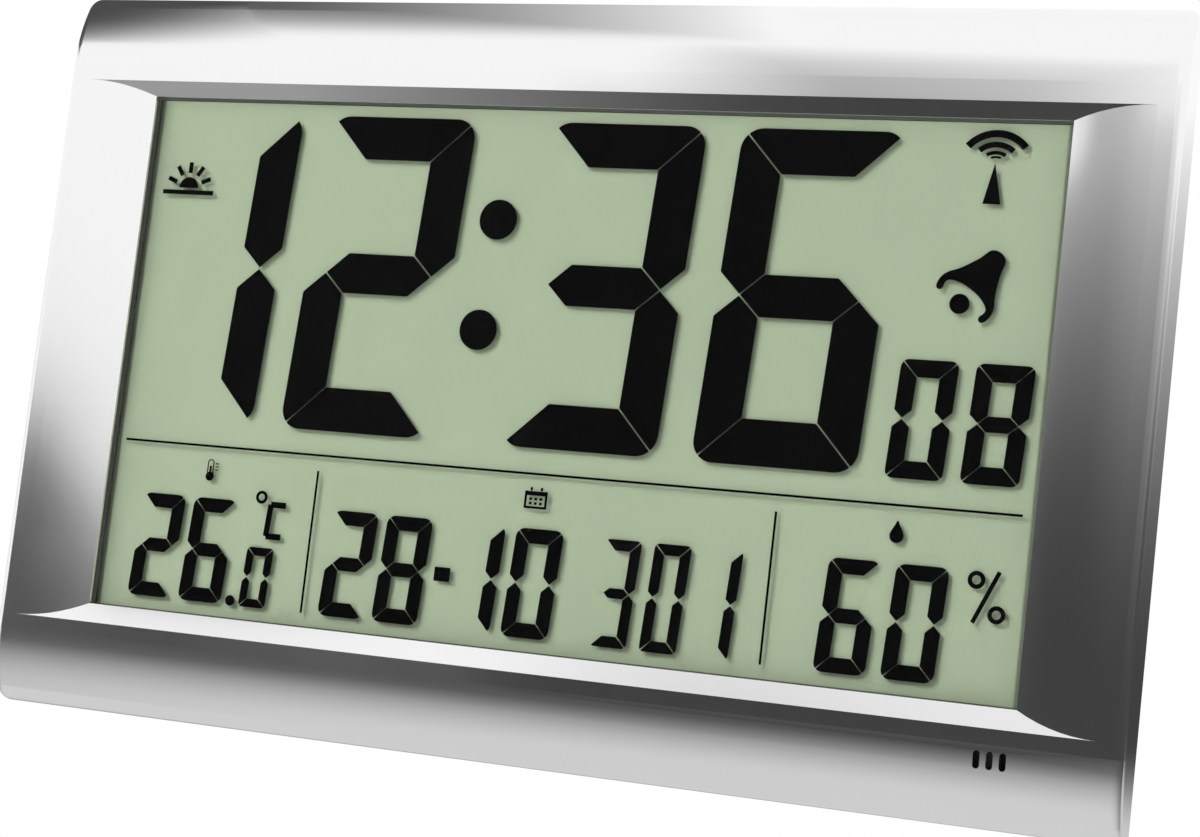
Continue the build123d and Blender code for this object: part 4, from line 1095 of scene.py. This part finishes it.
def makeCell(look):
    frontLow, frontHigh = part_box("lcd_front_glass")
    rearLow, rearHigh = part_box("lcd_rear_glass")
    # outline of the stepped end, seen along X: the front plate stands proud at the top
    profile = [
        (frontLow.y, frontLow.z), (rearHigh.y, rearLow.z), (rearHigh.y, rearHigh.z),
        (frontHigh.y, rearHigh.z), (frontHigh.y, frontHigh.z), (frontLow.y, frontHigh.z),
    ]
    bm = bmesh.new()
    start = bm.faces.new([bm.verts.new((frontLow.x, y, z)) for y, z in profile])
    pushed = bmesh.ops.extrude_face_region(bm, geom=[start])["geom"]
    ends = [v for v in pushed if isinstance(v, bmesh.types.BMVert)]
    bmesh.ops.translate(bm, verts=ends, vec=(frontHigh.x - frontLow.x, 0, 0))
    bmesh.ops.recalc_face_normals(bm, faces=bm.faces)
    bmesh.ops.bevel(bm, geom=bm.edges[:], offset=look["edge"], segments=look["edgeSteps"], affect="EDGES")
    cell = linkObject("displayCell", meshFrom("displayCell", bm))
    cell.data.materials.append(finishes["display_glass"])
    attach(cell, "case")
    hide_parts("lcd_front_glass", "lcd_rear_glass")


makeCell(cellGlass)
print("display cell made")


# Case screws with cross recesses, at the bottom of the rear counterbores
caseScrews = {
    "spots": [(x, z) for x in (-165.0, -55.0, 55.0, 165.0) for z in (-105.0, 105.0)],
    "seat": -9.0,
    "headCorners": 40,
    "shankCorners": 24,
    # what the node tree takes in, in millimetres
    "sizes": {
        "headRadius": 2.75,
        "crownRadius": 2.1,
        "headHeight": 2.0,
        "shankRadius": 1.45,
        "shankLength": 14.0,
        "recessWidth": 0.8,
        "recessLength": 3.2,
        "recessDepth": 1.1,
    },
}


def screwTree(setup):
    tree = bpy.data.node_groups.new("crossScrews", "GeometryNodeTree")
    tree.interface.new_socket(name="spots", in_out="INPUT", socket_type="NodeSocketGeometry")
    for label in setup["sizes"]:
        tree.interface.new_socket(name=label, in_out="INPUT", socket_type="NodeSocketFloat")
    tree.interface.new_socket(name="finish", in_out="INPUT", socket_type="NodeSocketMaterial")
    tree.interface.new_socket(name="screws", in_out="OUTPUT", socket_type="NodeSocketGeometry")
    head, tail = tree.nodes.new("NodeGroupInput"), tree.nodes.new("NodeGroupOutput")
    links = tree.links

    def lifted(mesh, height):
        shift = tree.nodes.new("ShaderNodeCombineXYZ")
        links.new(height, shift.inputs["Z"])
        move = tree.nodes.new("GeometryNodeTransform")
        links.new(mesh, move.inputs["Geometry"])
        links.new(shift.outputs["Vector"], move.inputs["Translation"])
        return move.outputs["Geometry"]

    cap = tree.nodes.new("GeometryNodeMeshCone")
    cap.inputs["Vertices"].default_value = setup["headCorners"]
    links.new(head.outputs["crownRadius"], cap.inputs["Radius Top"])
    links.new(head.outputs["headRadius"], cap.inputs["Radius Bottom"])
    links.new(head.outputs["headHeight"], cap.inputs["Depth"])
    blank = cap.outputs["Mesh"]
    # two blocks, centred on the crown, cut the cross
    for first, second in (("recessLength", "recessWidth"), ("recessWidth", "recessLength")):
        size = tree.nodes.new("ShaderNodeCombineXYZ")
        links.new(head.outputs[first], size.inputs["X"])
        links.new(head.outputs[second], size.inputs["Y"])
        links.new(addMath(tree, "MULTIPLY", head.outputs["recessDepth"], 2.0), size.inputs["Z"])
        block = tree.nodes.new("GeometryNodeMeshCube")
        links.new(size.outputs["Vector"], block.inputs["Size"])
        cut = tree.nodes.new("GeometryNodeMeshBoolean")
        cut.operation = "DIFFERENCE"
        links.new(blank, cut.inputs["Mesh 1"])
        links.new(lifted(block.outputs["Mesh"], head.outputs["headHeight"]), cut.inputs["Mesh 2"])
        blank = cut.outputs["Mesh"]
    shank = tree.nodes.new("GeometryNodeMeshCylinder")
    shank.inputs["Vertices"].default_value = setup["shankCorners"]
    links.new(head.outputs["shankRadius"], shank.inputs["Radius"])
    links.new(head.outputs["shankLength"], shank.inputs["Depth"])
    shankMiddle = addMath(tree, "MULTIPLY", head.outputs["shankLength"], -0.5)
    join = tree.nodes.new("GeometryNodeJoinGeometry")
    links.new(blank, join.inputs["Geometry"])
    links.new(lifted(shank.outputs["Mesh"], shankMiddle), join.inputs["Geometry"])
    spread = tree.nodes.new("GeometryNodeInstanceOnPoints")
    links.new(head.outputs["spots"], spread.inputs["Points"])
    links.new(join.outputs["Geometry"], spread.inputs["Instance"])
    spread.inputs["Rotation"].default_value = (math.radians(-90), 0, 0)  # heads to the rear
    real = tree.nodes.new("GeometryNodeRealizeInstances")
    links.new(spread.outputs["Instances"], real.inputs["Geometry"])
    paint = tree.nodes.new("GeometryNodeSetMaterial")
    links.new(real.outputs["Geometry"], paint.inputs["Geometry"])
    links.new(head.outputs["finish"], paint.inputs["Material"])
    links.new(paint.outputs["Geometry"], tail.inputs["screws"])
    return tree


def bakedByNodes(name, spots, tree, values):
    mesh = bpy.data.meshes.new(name + "Spots")
    mesh.from_pydata(spots, [], [])
    source = linkObject(name + "Source", mesh)
    modifier = source.modifiers.new("nodes", "NODES")
    modifier.node_group = tree
    for item in tree.interface.items_tree:
        if item.in_out == "INPUT" and item.name in values:
            modifier[item.identifier] = values[item.name]
    graph = bpy.context.evaluated_depsgraph_get()
    result = bpy.data.meshes.new_from_object(source.evaluated_get(graph))
    result.name = name
    bpy.data.objects.remove(source)
    return linkObject(name, result)


def makeScrews(setup):
    values = {label: size * mm for label, size in setup["sizes"].items()}
    values["finish"] = finishes["screw_steel"]
    spots = [(x * mm, setup["seat"] * mm, middleZ + z * mm) for x, z in setup["spots"]]
    screws = bakedByNodes("caseScrewHeads", spots, screwTree(setup), values)
    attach(screws, "case")
    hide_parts("case_screws")


makeScrews(caseScrews)
print("screws made")
